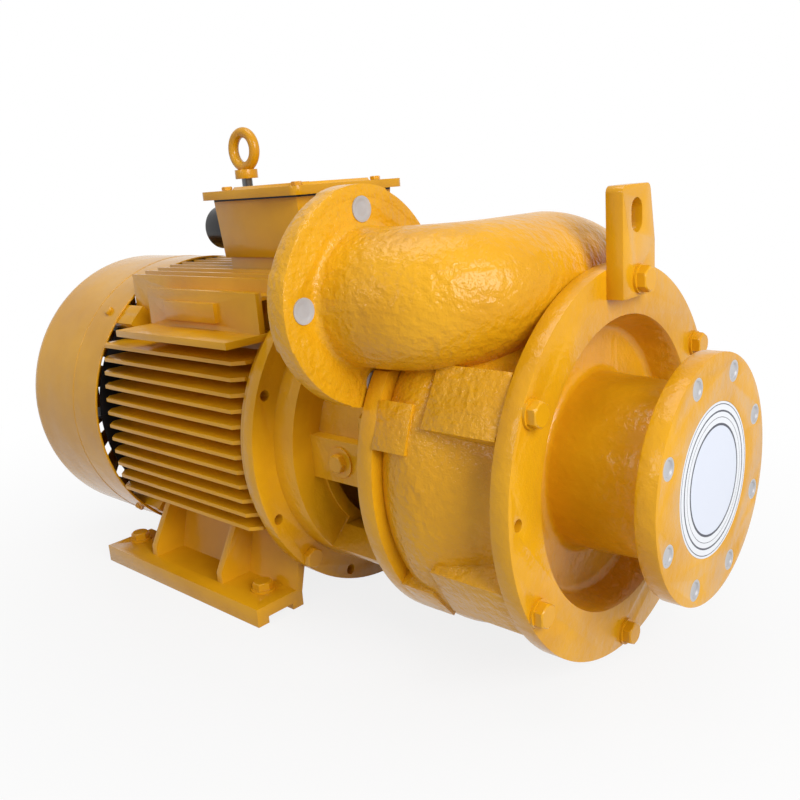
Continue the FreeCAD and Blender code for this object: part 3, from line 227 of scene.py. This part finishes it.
# %% [markdown]
# ## Enamel
# The pump is sprayed in one thick glossy coat. Where the casting is as it left the sand, the paint
# copies its lumps; where a face was machined or rolled, only a fine orange peel is left. One function
# makes each grade from two noises on Object coordinates: a coarse one for the skin under the paint
# and a fine one for the paint. The gloss is a clear coat, set on the shader's own sockets.

# %% Paint
AMBER = (0.72, 0.350, 0.007, 1)
AMBER_THIN = (0.62, 0.285, 0.005, 1)


def enamel(name, lump_size, lump_depth, peel_depth, roughness=0.3):
    """Glossy amber paint over a skin whose lumps have a size and depth in metres."""
    material, tree, output = node_material(name)
    nodes, links = tree.nodes, tree.links
    shader = nodes.new("ShaderNodeBsdfPrincipled")
    shader.inputs["Roughness"].default_value = roughness
    shader.inputs["Specular IOR Level"].default_value = 0.12
    shader.inputs["Coat Weight"].default_value = 0.34
    shader.inputs["Coat Roughness"].default_value = 0.04
    place = nodes.new("ShaderNodeTexCoord")
    drift = nodes.new("ShaderNodeTexNoise")
    drift.inputs["Scale"].default_value = 14
    drift.inputs["Detail"].default_value = 5
    colours = nodes.new("ShaderNodeValToRGB")
    colours.color_ramp.elements[0].position = 0.3
    colours.color_ramp.elements[0].color = AMBER_THIN
    colours.color_ramp.elements[1].position = 0.62
    colours.color_ramp.elements[1].color = AMBER
    lumps = nodes.new("ShaderNodeTexNoise")
    lumps.inputs["Scale"].default_value = 1 / lump_size
    lumps.inputs["Detail"].default_value = 3
    peel = nodes.new("ShaderNodeTexNoise")
    peel.inputs["Scale"].default_value = 700
    peel.inputs["Detail"].default_value = 2
    for texture in (drift, lumps, peel):
        links.new(place.outputs["Object"], texture.inputs["Vector"])
    deep = nodes.new("ShaderNodeBump")
    deep.inputs["Distance"].default_value = lump_depth
    fine = nodes.new("ShaderNodeBump")
    fine.inputs["Distance"].default_value = peel_depth
    links.new(lumps.outputs["Fac"], deep.inputs["Height"])
    links.new(peel.outputs["Fac"], fine.inputs["Height"])
    links.new(deep.outputs[0], fine.inputs["Normal"])
    links.new(fine.outputs[0], shader.inputs["Normal"])
    links.new(fine.outputs[0], shader.inputs["Coat Normal"])
    links.new(drift.outputs["Fac"], colours.inputs["Fac"])
    links.new(colours.outputs["Color"], shader.inputs["Base Color"])
    links.new(shader.outputs[0], output.inputs["Surface"])
    return material


sand_cast = enamel("sand_cast_enamel", 0.0075, 0.0022, 0.0002)
cast = enamel("cast_enamel", 0.012, 0.0012, 0.00016)
smooth = enamel("smooth_enamel", 0.05, 0.0012, 0.00010, 0.26)
sheet = enamel("sheet_enamel", 0.09, 0.003, 0.00006, 0.22)
print("enamels:", sand_cast.name, cast.name, smooth.name, sheet.name)


# %% [markdown]
# ## Bare materials
# Inside the pump and the motor there is little paint: machined steel with fine turning lines, dark
# wear iron, rubber, moulded plastic, copper under varnish. A second function makes all of them from a
# colour, a roughness and a grain.

# %% Bare finishes
def plain_finish(name, colour, roughness, metallic, grain, depth, clearness=0.0):
    """A procedural finish: two tones and a bump from one noise whose grain is a size in metres."""
    material, tree, output = node_material(name)
    nodes, links = tree.nodes, tree.links
    shader = nodes.new("ShaderNodeBsdfPrincipled")
    shader.inputs["Metallic"].default_value = metallic
    shader.inputs["Transmission Weight"].default_value = clearness
    place = nodes.new("ShaderNodeTexCoord")
    noise = nodes.new("ShaderNodeTexNoise")
    noise.inputs["Scale"].default_value = 1 / grain
    noise.inputs["Detail"].default_value = 4
    tones = nodes.new("ShaderNodeValToRGB")
    tones.color_ramp.elements[0].position = 0.25
    tones.color_ramp.elements[0].color = tuple(0.78 * part for part in colour) + (1,)
    tones.color_ramp.elements[1].position = 0.7
    tones.color_ramp.elements[1].color = tuple(colour) + (1,)
    dull = nodes.new("ShaderNodeMapRange")
    dull.inputs["To Min"].default_value = roughness * 0.8
    dull.inputs["To Max"].default_value = min(1, roughness * 1.25)
    bump = nodes.new("ShaderNodeBump")
    bump.inputs["Distance"].default_value = depth
    links.new(place.outputs["Object"], noise.inputs["Vector"])
    links.new(noise.outputs["Fac"], tones.inputs["Fac"])
    links.new(noise.outputs["Fac"], dull.inputs["Value"])
    links.new(noise.outputs["Fac"], bump.inputs["Height"])
    links.new(tones.outputs["Color"], shader.inputs["Base Color"])
    links.new(dull.outputs[0], shader.inputs["Roughness"])
    links.new(bump.outputs[0], shader.inputs["Normal"])
    links.new(shader.outputs[0], output.inputs["Surface"])
    return material


steel = plain_finish("machined_steel", (0.52, 0.52, 0.53), 0.32, 1, 0.002, 0.00005)
stainless = plain_finish("stainless", (0.62, 0.63, 0.64), 0.2, 1, 0.003, 0.00003)
wear_iron = plain_finish("wear_iron", (0.10, 0.10, 0.105), 0.55, 0.8, 0.006, 0.0005)
laminations = plain_finish("laminations", (0.16, 0.17, 0.19), 0.5, 0.7, 0.0015, 0.0002)
copper = plain_finish("varnished_copper", (0.36, 0.10, 0.035), 0.3, 0.3, 0.003, 0.0008)
aluminium = plain_finish("cast_aluminium", (0.55, 0.56, 0.57), 0.42, 1, 0.004, 0.0002)
carbon = plain_finish("seal_ring", (0.02, 0.02, 0.022), 0.25, 0, 0.004, 0.00002)
rubber = plain_finish("rubber", (0.014, 0.014, 0.014), 0.62, 0, 0.004, 0.0002)
fibre = plain_finish("gasket_fibre", (0.035, 0.033, 0.028), 0.8, 0, 0.003, 0.0002)
black_plastic = plain_finish("black_plastic", (0.008, 0.008, 0.009), 0.24, 0, 0.01, 0.0002)
fan_plastic = plain_finish("fan_plastic", (0.02, 0.02, 0.022), 0.45, 0, 0.006, 0.0002)
moulding = plain_finish("brown_moulding", (0.22, 0.04, 0.015), 0.35, 0, 0.006, 0.0002)
zinc = plain_finish("dark_zinc", (0.16, 0.165, 0.175), 0.38, 0.9, 0.003, 0.0002)
plug_plastic = plain_finish("milky_plug", (0.60, 0.60, 0.62), 0.3, 0, 0.02, 0.0003, 0.25)
print("bare finishes ready")

# %% Finish of each node
FINISH = {
    "suction_cover": cast, "cover_gasket": fibre, "volute_casing": sand_cast, "cover_bolts": smooth,
    "cover_washers": smooth, "lifting_lug": smooth, "back_plate": wear_iron, "seal_gland": stainless,
    "seal_seat": carbon, "seal_head": carbon, "seal_collar": stainless, "gland_bolts": steel,
    "lantern_bracket": cast, "ring_bolts": smooth, "motor_flange_bolts": smooth, "pad_bolts": smooth,
    "pad_washers": smooth, "motor_frame": smooth, "drive_shield": cast, "drive_bearing_cap": wear_iron,
    # The fan shield's dark iron finish is partly bare iron where the paint does not reach, and partly painted
    # shade that keeps the gap between the cowl and the frame dark.
    "fan_shield": wear_iron, "fan_bearing_cap": wear_iron, "stator_core": laminations,
    "stator_windings": copper, "pump_shaft": steel, "impeller_key": steel, "shaft_sleeve": stainless,
    "shaft_slinger": rubber, "rotor_core": laminations, "rotor_end_rings": aluminium,
    "fan_circlip": steel, "impeller_nut": wear_iron, "impeller": wear_iron, "drive_inner_ring": steel,
    "drive_outer_ring": steel, "drive_ball_cage": steel, "fan_inner_ring": steel,
    "fan_outer_ring": steel, "fan_ball_cage": steel, "cooling_fan": fan_plastic, "fan_cowl": sheet,
    "cowl_screws": smooth, "terminal_box": smooth, "box_gasket": rubber, "box_lid": smooth,
    "lid_screws": smooth, "terminal_board": moulding, "cable_plug": black_plastic, "eye_bolt": smooth,
}
for name, node in frame["nodes"].items():
    node.data.materials.clear()
    node.data.materials.append(FINISH[name])
print("painted", len(frame["nodes"]), "nodes")

# %% [markdown]
# ## Softened copies
# A CAD solid has knife edges, and nothing painted has those. Each visible solid is copied, its loose
# triangles are merged, flat areas are joined, and a narrow bevel rounds what is left. The copy then
# stands for the solid. Castings get a wider round than plates. The fan cowl stays as it is: a bevel
# would tear the narrow bars between its slots.

# %% Copying and rounding a solid
BODY_OF = {name: node["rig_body"] for name, node in frame["nodes"].items()}


def merged_copy(name):
    """Mesh of a node with its doubles merged and its flat areas joined."""
    mesh = frame["nodes"][name].data.copy()
    work = bmesh.new()
    work.from_mesh(mesh)
    bmesh.ops.remove_doubles(work, verts=work.verts, dist=0.00001)
    bmesh.ops.dissolve_limit(work, angle_limit=math.radians(0.6), verts=work.verts, edges=work.edges)
    work.to_mesh(mesh)
    work.free()
    return mesh


def shown(name, mesh):
    """A new object with a mesh, at the origin."""
    piece = bpy.data.objects.new(name, mesh)
    scene.collection.objects.link(piece)
    return piece


def baked(piece):
    """The same object with its modifiers turned into its mesh."""
    bpy.context.view_layer.update()
    graph = bpy.context.evaluated_depsgraph_get()
    mesh = bpy.data.meshes.new_from_object(piece.evaluated_get(graph), depsgraph=graph)
    piece.modifiers.clear()
    piece.data = mesh
    return piece


def smooth_shaded(mesh, angle=32):
    mesh.polygons.foreach_set("use_smooth", [True] * len(mesh.polygons))
    mesh.set_sharp_from_angle(angle=math.radians(angle))


def stand_for(piece, *names):
    """The piece takes the place and body of CAD nodes, which are hidden."""
    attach(piece, BODY_OF[names[0]])
    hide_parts(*names)
    return piece


def softened(name, width, segments=2, mesh=None):
    """Rounded copy of a node, or of a mesh made from it, standing for it."""
    piece = shown(f"{name}_dressed", mesh or merged_copy(name))
    bevel = piece.modifiers.new("round", "BEVEL")
    bevel.width = width
    bevel.segments = segments
    bevel.limit_method = "ANGLE"
    bevel.angle_limit = math.radians(38)
    bevel.use_clamp_overlap = True
    bevel.miter_outer = "MITER_ARC"
    baked(piece)
    smooth_shaded(piece.data)
    piece.data.materials.clear()
    piece.data.materials.append(FINISH[name])
    return stand_for(piece, name)


ROUNDS = {"lantern_bracket": 0.0012, "motor_frame": 0.0007,
          "terminal_box": 0.0015, "box_lid": 0.0014, "lifting_lug": 0.0015, "volute_casing": 0.0015,
          "back_plate": 0.0005, "seal_gland": 0.0005, "drive_shield": 0.0008, "cable_plug": 0.0008}
for name, width in ROUNDS.items():
    piece = softened(name, width)
    print(piece.name, len(piece.data.polygons), "faces")

# %% [markdown]
# ## The suction end and its blank plate
# The pump travels with a thin blank plate stuck over its suction bore. It is wider than the bore and
# lies level with the flange, so the flange's copy gets a shallow recess for it. A Boolean modifier
# cuts the recess with a short drum, before the edges are rounded. The plate's fine rings are printed,
# so they are colour alone: a ramp over the distance from the shaft's axis.

# %% Recess and blank plate
PLATE_RADIUS = 64.5 * MM
RECESS = 0.8 * MM


def drum(name, radius, near, far, sides=96):
    """A closed drum along the shaft, between two stations."""
    work = bmesh.new()
    turn_to_shaft = Matrix.Translation(((near + far) / 2, 0, 0)) @ Matrix.Rotation(math.pi / 2, 4, "Y")
    bmesh.ops.create_cone(work, cap_ends=True, segments=sides, radius1=radius, radius2=radius,
                          depth=far - near, matrix=turn_to_shaft)
    mesh = bpy.data.meshes.new(name)
    work.to_mesh(mesh)
    work.free()
    return shown(name, mesh)


def softened_with_recess(name, width):
    cutter = drum("recess_cutter", PLATE_RADIUS, -RECESS, RECESS)
    piece = shown("uncut", merged_copy(name))
    boolean = piece.modifiers.new("recess", "BOOLEAN")
    boolean.object = cutter
    boolean.solver = "EXACT"
    baked(piece)
    recessed = piece.data
    bpy.data.objects.remove(piece)
    bpy.data.objects.remove(cutter)
    return softened(name, width, mesh=recessed)


softened_with_recess("suction_cover", 0.0012)
printed, tree, output = node_material("printed_blank")
shader = tree.nodes.new("ShaderNodeBsdfPrincipled")
shader.inputs["Roughness"].default_value = 0.3
place = tree.nodes.new("ShaderNodeTexCoord")
across = tree.nodes.new("ShaderNodeVectorMath")
across.operation = "MULTIPLY"
across.inputs[1].default_value = (0, 1 / PLATE_RADIUS, 1 / PLATE_RADIUS)
distance = tree.nodes.new("ShaderNodeVectorMath")
distance.operation = "LENGTH"
rings = tree.nodes.new("ShaderNodeValToRGB")
rings.color_ramp.interpolation = "CONSTANT"
PAPER, LINE, EDGE = (0.66, 0.70, 0.80, 1), (0.02, 0.025, 0.05, 1), (0.74, 0.76, 0.80, 1)
RING_STOPS = ((0.69, LINE), (0.72, EDGE), (0.79, LINE), (0.80, EDGE), (0.86, LINE), (0.885, EDGE),
              (0.955, LINE), (0.965, EDGE))
rings.color_ramp.elements[0].color = PAPER
rings.color_ramp.elements[1].position, rings.color_ramp.elements[1].color = RING_STOPS[0]
for position, colour in RING_STOPS[1:]:
    rings.color_ramp.elements.new(position).color = colour
tree.links.new(place.outputs["Object"], across.inputs[0])
tree.links.new(across.outputs[0], distance.inputs[0])
tree.links.new(distance.outputs["Value"], rings.inputs["Fac"])
tree.links.new(rings.outputs["Color"], shader.inputs["Base Color"])
tree.links.new(shader.outputs[0], output.inputs["Surface"])
plate = drum("blank_plate", PLATE_RADIUS - 0.2 * MM, 0.1 * MM, RECESS)
plate.data.materials.append(printed)
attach(plate, BODY_OF["suction_cover"])
print("recess for a plate of", round(2000 * PLATE_RADIUS), "mm")

# %% [markdown]
# ## Fasteners by Geometry Nodes
# The same hexagon head turns up a few dozen times, so it is made once by a node tree and laid out in a
# ring. A hexagon head is a drum whose sides are pulled in to six flats and whose top corners are cut
# by a cone: each point's radius is the smaller of the two. The tree's inputs are the real sizes of a
# screw. Realize Instances makes the ring plain mesh, and Set Material paints it.


# %% A small helper for node trees
class Shop:
    """A geometry tree with short ways to add nodes and to name inputs."""

    def __init__(self, name, inputs):
        self.group = bpy.data.node_groups.new(name, "GeometryNodeTree")
        self.sockets = {}
        for title, kind in inputs:
            socket = self.group.interface.new_socket(title, in_out="INPUT", socket_type=kind)
            self.sockets[title] = socket.identifier
        self.group.interface.new_socket("Geometry", in_out="OUTPUT", socket_type="NodeSocketGeometry")
        self.given = self.group.nodes.new("NodeGroupInput").outputs

    def node(self, kind, settings=(), **inputs):
        """A node with its settings, and its inputs linked or set by name or by in0, in1 and so on."""
        made = self.group.nodes.new(kind)
        for key, value in dict(settings).items():
            setattr(made, key, value)
        for key, value in inputs.items():
            target = made.inputs[int(key[2:])] if key[:2] == "in" and key[2:].isdigit() else made.inputs[key]
            if isinstance(value, bpy.types.NodeSocket):
                self.group.links.new(value, target)
            else:
                target.default_value = value
        return made.outputs

    def maths(self, operation, first, second=0.0):
        return self.node("ShaderNodeMath", {"operation": operation}, in0=first, in1=second)[0]

    def join(self, *parts):
        joined = self.group.nodes.new("GeometryNodeJoinGeometry")
        for part in parts:
            self.group.links.new(part, joined.inputs[0])
        return joined.outputs[0]

    def ring(self, part, count, radius, first, paint):
        """Copies of a part on a circle about Z, made plain mesh and painted."""
        step = self.maths("DIVIDE", 2 * math.pi, count)
        angle = self.maths("ADD", first, self.maths("MULTIPLY", self.node("GeometryNodeInputIndex")[0], step))
        across = self.maths("MULTIPLY", radius, self.maths("COSINE", angle))
        along = self.maths("MULTIPLY", radius, self.maths("SINE", angle))
        places = self.node("ShaderNodeCombineXYZ", in0=across, in1=along)[0]
        points = self.node("GeometryNodePoints", Count=count, Position=places)[0]
        copies = self.node("GeometryNodeInstanceOnPoints", Points=points, Instance=part)[0]
        real = self.node("GeometryNodeRealizeInstances", in0=copies)[0]
        end = self.group.nodes.new("NodeGroupOutput")
        painted = self.node("GeometryNodeSetMaterial", {}, in0=real, Material=paint)[0]
        self.group.links.new(painted, end.inputs[0])


print("helper ready")

# %% Tree of a ring of hexagon screws
LENGTH = "NodeSocketFloat"
SIDES = 48
hexes = Shop("hexagon_screws", (
    ("Across flats", LENGTH), ("Head height", LENGTH), ("Washer radius", LENGTH),
    ("Washer height", LENGTH), ("Count", "NodeSocketInt"), ("Ring radius", LENGTH),
    ("First angle", LENGTH), ("Paint", "NodeSocketMaterial")))
given = hexes.given
blank = hexes.node("GeometryNodeMeshCylinder", in0=SIDES, in1=8, in2=1, Radius=1.0,
                   Depth=given["Head height"])[0]
spot = hexes.node("ShaderNodeSeparateXYZ", in0=hexes.node("GeometryNodeInputPosition")[0])
bearing = hexes.maths("ARCTAN2", spot[1], spot[0])
from_corner = hexes.maths("FLOORED_MODULO", bearing, math.pi / 3)
from_flat = hexes.maths("SUBTRACT", from_corner, math.pi / 6)
half_flats = hexes.maths("MULTIPLY", given["Across flats"], 0.5)
flat_radius = hexes.maths("DIVIDE", half_flats, hexes.maths("COSINE", from_flat))
below_top = hexes.maths("SUBTRACT", hexes.maths("MULTIPLY", given["Head height"], 0.5), spot[2])
cone_radius = hexes.maths("ADD", hexes.maths("MULTIPLY", half_flats, 0.93),
                          hexes.maths("MULTIPLY", below_top, 1.7))
head_radius = hexes.maths("MINIMUM", flat_radius, cone_radius)
lift = hexes.maths("ADD", hexes.maths("MULTIPLY", given["Head height"], 0.5), given["Washer height"])
flat_place = hexes.node("ShaderNodeVectorMath", {"operation": "MULTIPLY"},
                        in0=hexes.node("GeometryNodeInputPosition")[0], in1=(1, 1, 0))[0]
sized = hexes.node("ShaderNodeVectorMath", {"operation": "SCALE"}, in0=flat_place, Scale=head_radius)[0]
height = hexes.node("ShaderNodeCombineXYZ", in2=hexes.maths("ADD", spot[2], lift))[0]
new_place = hexes.node("ShaderNodeVectorMath", {"operation": "ADD"}, in0=sized, in1=height)[0]
head = hexes.node("GeometryNodeSetPosition", in0=blank, Position=new_place)[0]
washer = hexes.node("GeometryNodeMeshCylinder", in0=SIDES, Radius=given["Washer radius"],
                    Depth=given["Washer height"])[0]
rise = hexes.node("ShaderNodeCombineXYZ", in2=hexes.maths("MULTIPLY", given["Washer height"], 0.5))[0]
washer = hexes.node("GeometryNodeTransform", in0=washer, Translation=rise)[0]
hexes.ring(hexes.join(head, washer), given["Count"], given["Ring radius"], given["First angle"],
           given["Paint"])
print("screw tree:", len(hexes.group.nodes), "nodes")

# %% [markdown]
# ## Hole plugs
# Each flange hole is closed by a milky plastic plug for the journey. It is a shallow dish: a disc whose
# middle is pushed in. The same kind of tree makes it, with the dish worked out from the distance to
# the disc's own centre.

# %% Tree of a ring of plugs
plugs = Shop("hole_plugs", (
    ("Radius", LENGTH), ("Thickness", LENGTH), ("Dish", LENGTH), ("Count", "NodeSocketInt"),
    ("Ring radius", LENGTH), ("First angle", LENGTH), ("Paint", "NodeSocketMaterial")))
given = plugs.given
disc = plugs.node("GeometryNodeMeshCylinder", {"fill_type": "TRIANGLE_FAN"}, in0=32, in1=1, in2=8,
                  Radius=given["Radius"], Depth=given["Thickness"])[0]
spot = plugs.node("GeometryNodeInputPosition")[0]
parts = plugs.node("ShaderNodeSeparateXYZ", in0=spot)
reach = plugs.node("ShaderNodeVectorMath", {"operation": "LENGTH"},
                   in0=plugs.node("ShaderNodeCombineXYZ", in0=parts[0], in1=parts[1])[0])[1]
share = plugs.maths("DIVIDE", reach, given["Radius"])
push = plugs.node("ShaderNodeMapRange", {"interpolation_type": "SMOOTHSTEP"}, in0=share, in1=0.78, in2=0.6,
                  in3=0.0, in4=1.0)[0]
drop = plugs.maths("MULTIPLY", plugs.maths("MULTIPLY", push, given["Dish"]), -1.0)
top_only = plugs.maths("GREATER_THAN", parts[2], 0.0)
down = plugs.maths("SUBTRACT", plugs.maths("MULTIPLY", drop, top_only),
                   plugs.maths("MULTIPLY", given["Thickness"], 0.5))
dished = plugs.node("GeometryNodeSetPosition", in0=disc,
                    Offset=plugs.node("ShaderNodeCombineXYZ", in2=down)[0])[0]
plugs.ring(dished, given["Count"], given["Ring radius"], given["First angle"], given["Paint"])
print("plug tree:", len(plugs.group.nodes), "nodes")


# %% Laying the rings on the pump
TOWARDS_SUCTION = Matrix.Rotation(-math.pi / 2, 4, "Y")
TOWARDS_MOTOR = Matrix.Rotation(math.pi / 2, 4, "Y")
UPWARDS = Matrix.Identity(4)
TO_LEFT_SIDE = Matrix.Rotation(-math.pi / 2, 4, "X")
TO_RIGHT_SIDE = Matrix.Rotation(math.pi / 2, 4, "X")


def laid(tool, facing, place, values):
    """Mesh of one ring: its tree's inputs are set, it is made plain, turned and put in place."""
    piece = shown("ring", bpy.data.meshes.new("ring"))
    tree_modifier = piece.modifiers.new("tree", "NODES")
    tree_modifier.node_group = tool.group
    for title, value in values.items():
        tree_modifier[tool.sockets[title]] = value
    baked(piece)
    mesh = piece.data
    mesh.transform(Matrix.Translation(Vector(place) * MM) @ facing)
    bpy.data.objects.remove(piece)
    return mesh


def screws(size_mm, facing, place, count=1, ring_mm=0.0, first=0.0, washer_mm=0.0, paint=None):
    """Hexagon heads of a thread size, in millimetres, with a washer as thick as a real one."""
    bed = 0.2 * size_mm if washer_mm else 0.2
    return laid(hexes, facing, place, {
        "Across flats": (1.5 * size_mm + 1) * MM, "Head height": 0.65 * size_mm * MM,
        "Washer radius": max(washer_mm / 2, 0.78 * size_mm) * MM, "Washer height": bed * MM,
        "Count": count, "Ring radius": ring_mm * MM, "First angle": math.radians(first),
        "Paint": paint or smooth})


def hole_plugs(facing, place, count, ring_mm, first, radius_mm, thick_mm=2.4, dish_mm=1.5):
    return laid(plugs, facing, place, {
        "Radius": radius_mm * MM, "Thickness": thick_mm * MM, "Dish": dish_mm * MM, "Count": count,
        "Ring radius": ring_mm * MM, "First angle": math.radians(first), "Paint": plug_plastic})


def one_piece(name, meshes, paint, body="casing"):
    """Meshes joined in one object on a body."""
    work = bmesh.new()
    for mesh in meshes:
        work.from_mesh(mesh)
    bmesh.ops.recalc_face_normals(work, faces=work.faces)
    joined = bpy.data.meshes.new(name)
    work.to_mesh(joined)
    work.free()
    smooth_shaded(joined, 28)
    joined.materials.append(paint)
    piece = shown(name, joined)
    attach(piece, body)
    return piece


COVER_RING = 161
COVER_SEAT, LUG_SEAT = 80, 65
cover_heads = []
for angle in range(30, 390, 60):
    bearing = math.radians(angle)
    seat = LUG_SEAT if angle == 90 else COVER_SEAT
    place = (seat, COVER_RING * math.cos(bearing), COVER_RING * math.sin(bearing))
    cover_heads.append(screws(12, TOWARDS_SUCTION, place, washer_mm=24))
stand_for(one_piece("cover_screws_dressed", cover_heads, smooth), "cover_bolts", "cover_washers")
ring_heads = [screws(16, TOWARDS_MOTOR, (237.5, 0, 0), 6, 150, 50)]
stand_for(one_piece("ring_screws_dressed", ring_heads, smooth), "ring_bolts")
flange_heads = [screws(12, TOWARDS_SUCTION, (372.5, 0, 0), 4, 165, 45)]
stand_for(one_piece("motor_flange_screws_dressed", flange_heads, smooth), "motor_flange_bolts")
pad_heads = [screws(10, TO_LEFT_SIDE, (304.5, 125, 0), washer_mm=30),
             screws(10, TO_RIGHT_SIDE, (304.5, -125, 0), washer_mm=30)]
stand_for(one_piece("pad_screws_dressed", pad_heads, smooth), "pad_bolts", "pad_washers")
lid_heads = [screws(6, UPWARDS, (463, 0, 254), 4, 57 * math.sqrt(2), 45)]
stand_for(one_piece("lid_screws_dressed", lid_heads, smooth), "lid_screws")
FOOT_TOP, FOOT_STATIONS, FOOT_SIDES = -160, (429.5, 670.5), (139.5, -139.5)
foot_heads = [screws(12, UPWARDS, (x, y, FOOT_TOP), washer_mm=26) for x in FOOT_STATIONS
              for y in FOOT_SIDES]
one_piece("foot_screw_heads", foot_heads, smooth)
one_piece("suction_plugs", [hole_plugs(TOWARDS_SUCTION, (0.1, 0, 0), 8, 90, 22.5, 9.2)], plug_plastic)
one_piece("discharge_plugs", [hole_plugs(TOWARDS_SUCTION, (240, 135, 159), 4, 72.5, 0, 10.6, dish_mm=0.6),
                              hole_plugs(TOWARDS_MOTOR, (259.9, 135, 159), 4, 72.5, 0, 9.2)], plug_plastic)
print("rings laid")

# %% [markdown]
# ## The discharge flange's cast edge
# The flange is cast nearly round, its four flats are worn soft, and it runs into the elbow through a
# generous fillet. Both are rings about the flange's own centre, made point by point from a section: for
# each bearing the section's radii are known, so the ring is a grid of quads closed on itself.

# %% Rim and fillet of the discharge flange
OUTLET = Vector((0, 135, 159)) * MM
FLANGE_PIPE_SIDE, FLANGE_FACE = 241 * MM, 260 * MM
ELBOW_RADIUS = 58 * MM
RIM_RADIUS, RIM_FALL = 92.4 * MM, 1.6 * MM


def ring_from_section(name, section, steps=128):
    """Closed ring about the outlet; section(bearing) lists its (station, radius) points in order."""
    work = bmesh.new()
    rows = []
    for step in range(steps):
        bearing = 2 * math.pi * step / steps
        outwards = Vector((0, math.cos(bearing), math.sin(bearing)))
        rows.append([work.verts.new(OUTLET + X_AXIS * station + outwards * radius)
                     for station, radius in section(bearing)])
    sides = len(rows[0])
    for here, there in zip(rows, rows[1:] + rows[:1]):
        for side in range(sides):
            after = (side + 1) % sides
            work.faces.new((here[side], here[after], there[after], there[side]))
    bmesh.ops.recalc_face_normals(work, faces=work.faces)
    mesh = bpy.data.meshes.new(name)
    work.to_mesh(mesh)
    work.free()
    smooth_shaded(mesh, 40)
    mesh.materials.append(sand_cast)
    ring = shown(name, mesh)
    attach(ring, BODY_OF["volute_casing"])
    return ring


def rim_section(bearing):
    """A soft-cornered band outside the bolt holes, lowest at the four diagonals."""
    outer = RIM_RADIUS - RIM_FALL * (1 - math.cos(4 * bearing)) / 2
    inner, soft = 82.2 * MM, 1.6 * MM
    near, far = FLANGE_PIPE_SIDE - 0.15 * MM, FLANGE_FACE + 0.15 * MM
    return [(near, inner), (near, outer - soft), (near + 0.3 * soft, outer - 0.3 * soft),
            (near + soft, outer), (far - soft, outer), (far - 0.3 * soft, outer - 0.3 * soft),
            (far, outer - soft), (far, inner)]


def fillet_section(bearing):
    """A hollow quarter between the elbow and the flange."""
    sweep, sink = 6 * MM, 0.6 * MM
    start, buried = FLANGE_PIPE_SIDE - sweep, FLANGE_PIPE_SIDE + sink
    centre = ELBOW_RADIUS + sweep
    turns = [math.radians(angle) for angle in range(0, 91, 15)]
    hollow = [(start + sweep * math.sin(turn), centre - sweep * math.cos(turn)) for turn in turns]
    return hollow + [(buried, centre), (buried, ELBOW_RADIUS - sink), (start, ELBOW_RADIUS - sink)]


ring_from_section("discharge_flange_rim", rim_section)
ring_from_section("discharge_flange_fillet", fillet_section)
print("rim and fillet made")

# %% [markdown]
# ## Small trim
# The eye bolt is painted only above its collar, so its copy has two finishes. The fan cowl is two
# rolled strips: a seam runs round it where they lap, and its front edge is rolled over. Both are thin
# rings turned from a small round section.

# %% Eye bolt, seam and rolled edge
eye = softened("eye_bolt", 0.0006)
eye.data.materials.append(zinc)
COLLAR_SEAT = 266 * MM
for face in eye.data.polygons:
    face.material_index = int(face.center.z < COLLAR_SEAT)


def turned_bead(name, station, radius, section, node):
    """A thin ring round the shaft."""
    curve = bpy.data.curves.new(name, "CURVE")
    curve.dimensions = "3D"
    curve.bevel_depth = section
    curve.bevel_resolution = 3
    line = curve.splines.new("POLY")
    steps = 144
    line.points.add(steps - 1)
    for index, point in enumerate(line.points):
        angle = 2 * math.pi * index / steps
        point.co = (station, radius * math.cos(angle), radius * math.sin(angle), 1)
    line.use_cyclic_u = True
    piece = bpy.data.objects.new(name, curve)
    scene.collection.objects.link(piece)
    bpy.context.view_layer.update()
    graph = bpy.context.evaluated_depsgraph_get()
    mesh = bpy.data.meshes.new_from_object(piece.evaluated_get(graph), depsgraph=graph)
    bpy.data.objects.remove(piece)
    smooth_shaded(mesh, 60)
    mesh.materials.append(FINISH[node])
    ring = shown(name, mesh)
    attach(ring, BODY_OF[node])
    return ring


COWL_RADIUS = 176 * MM
fan_low, fan_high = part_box("cooling_fan")
disc = drum("fan_back_disc", fan_high[1] - 6 * MM, fan_low[0] + 1 * MM, fan_low[0] + 3 * MM)
disc.data.materials.append(fan_plastic)
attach(disc, BODY_OF["cooling_fan"])
print("fan from", round(fan_low[0], 4), "to", round(fan_high[0], 4), "radius", round(fan_high[1], 4))
turned_bead("cowl_seam", 716 * MM, COWL_RADIUS - 0.2 * MM, 0.6 * MM, "fan_cowl")
turned_bead("cowl_rolled_edge", 663 * MM, COWL_RADIUS - 0.8 * MM, 1.3 * MM, "fan_cowl")
print("trim done")
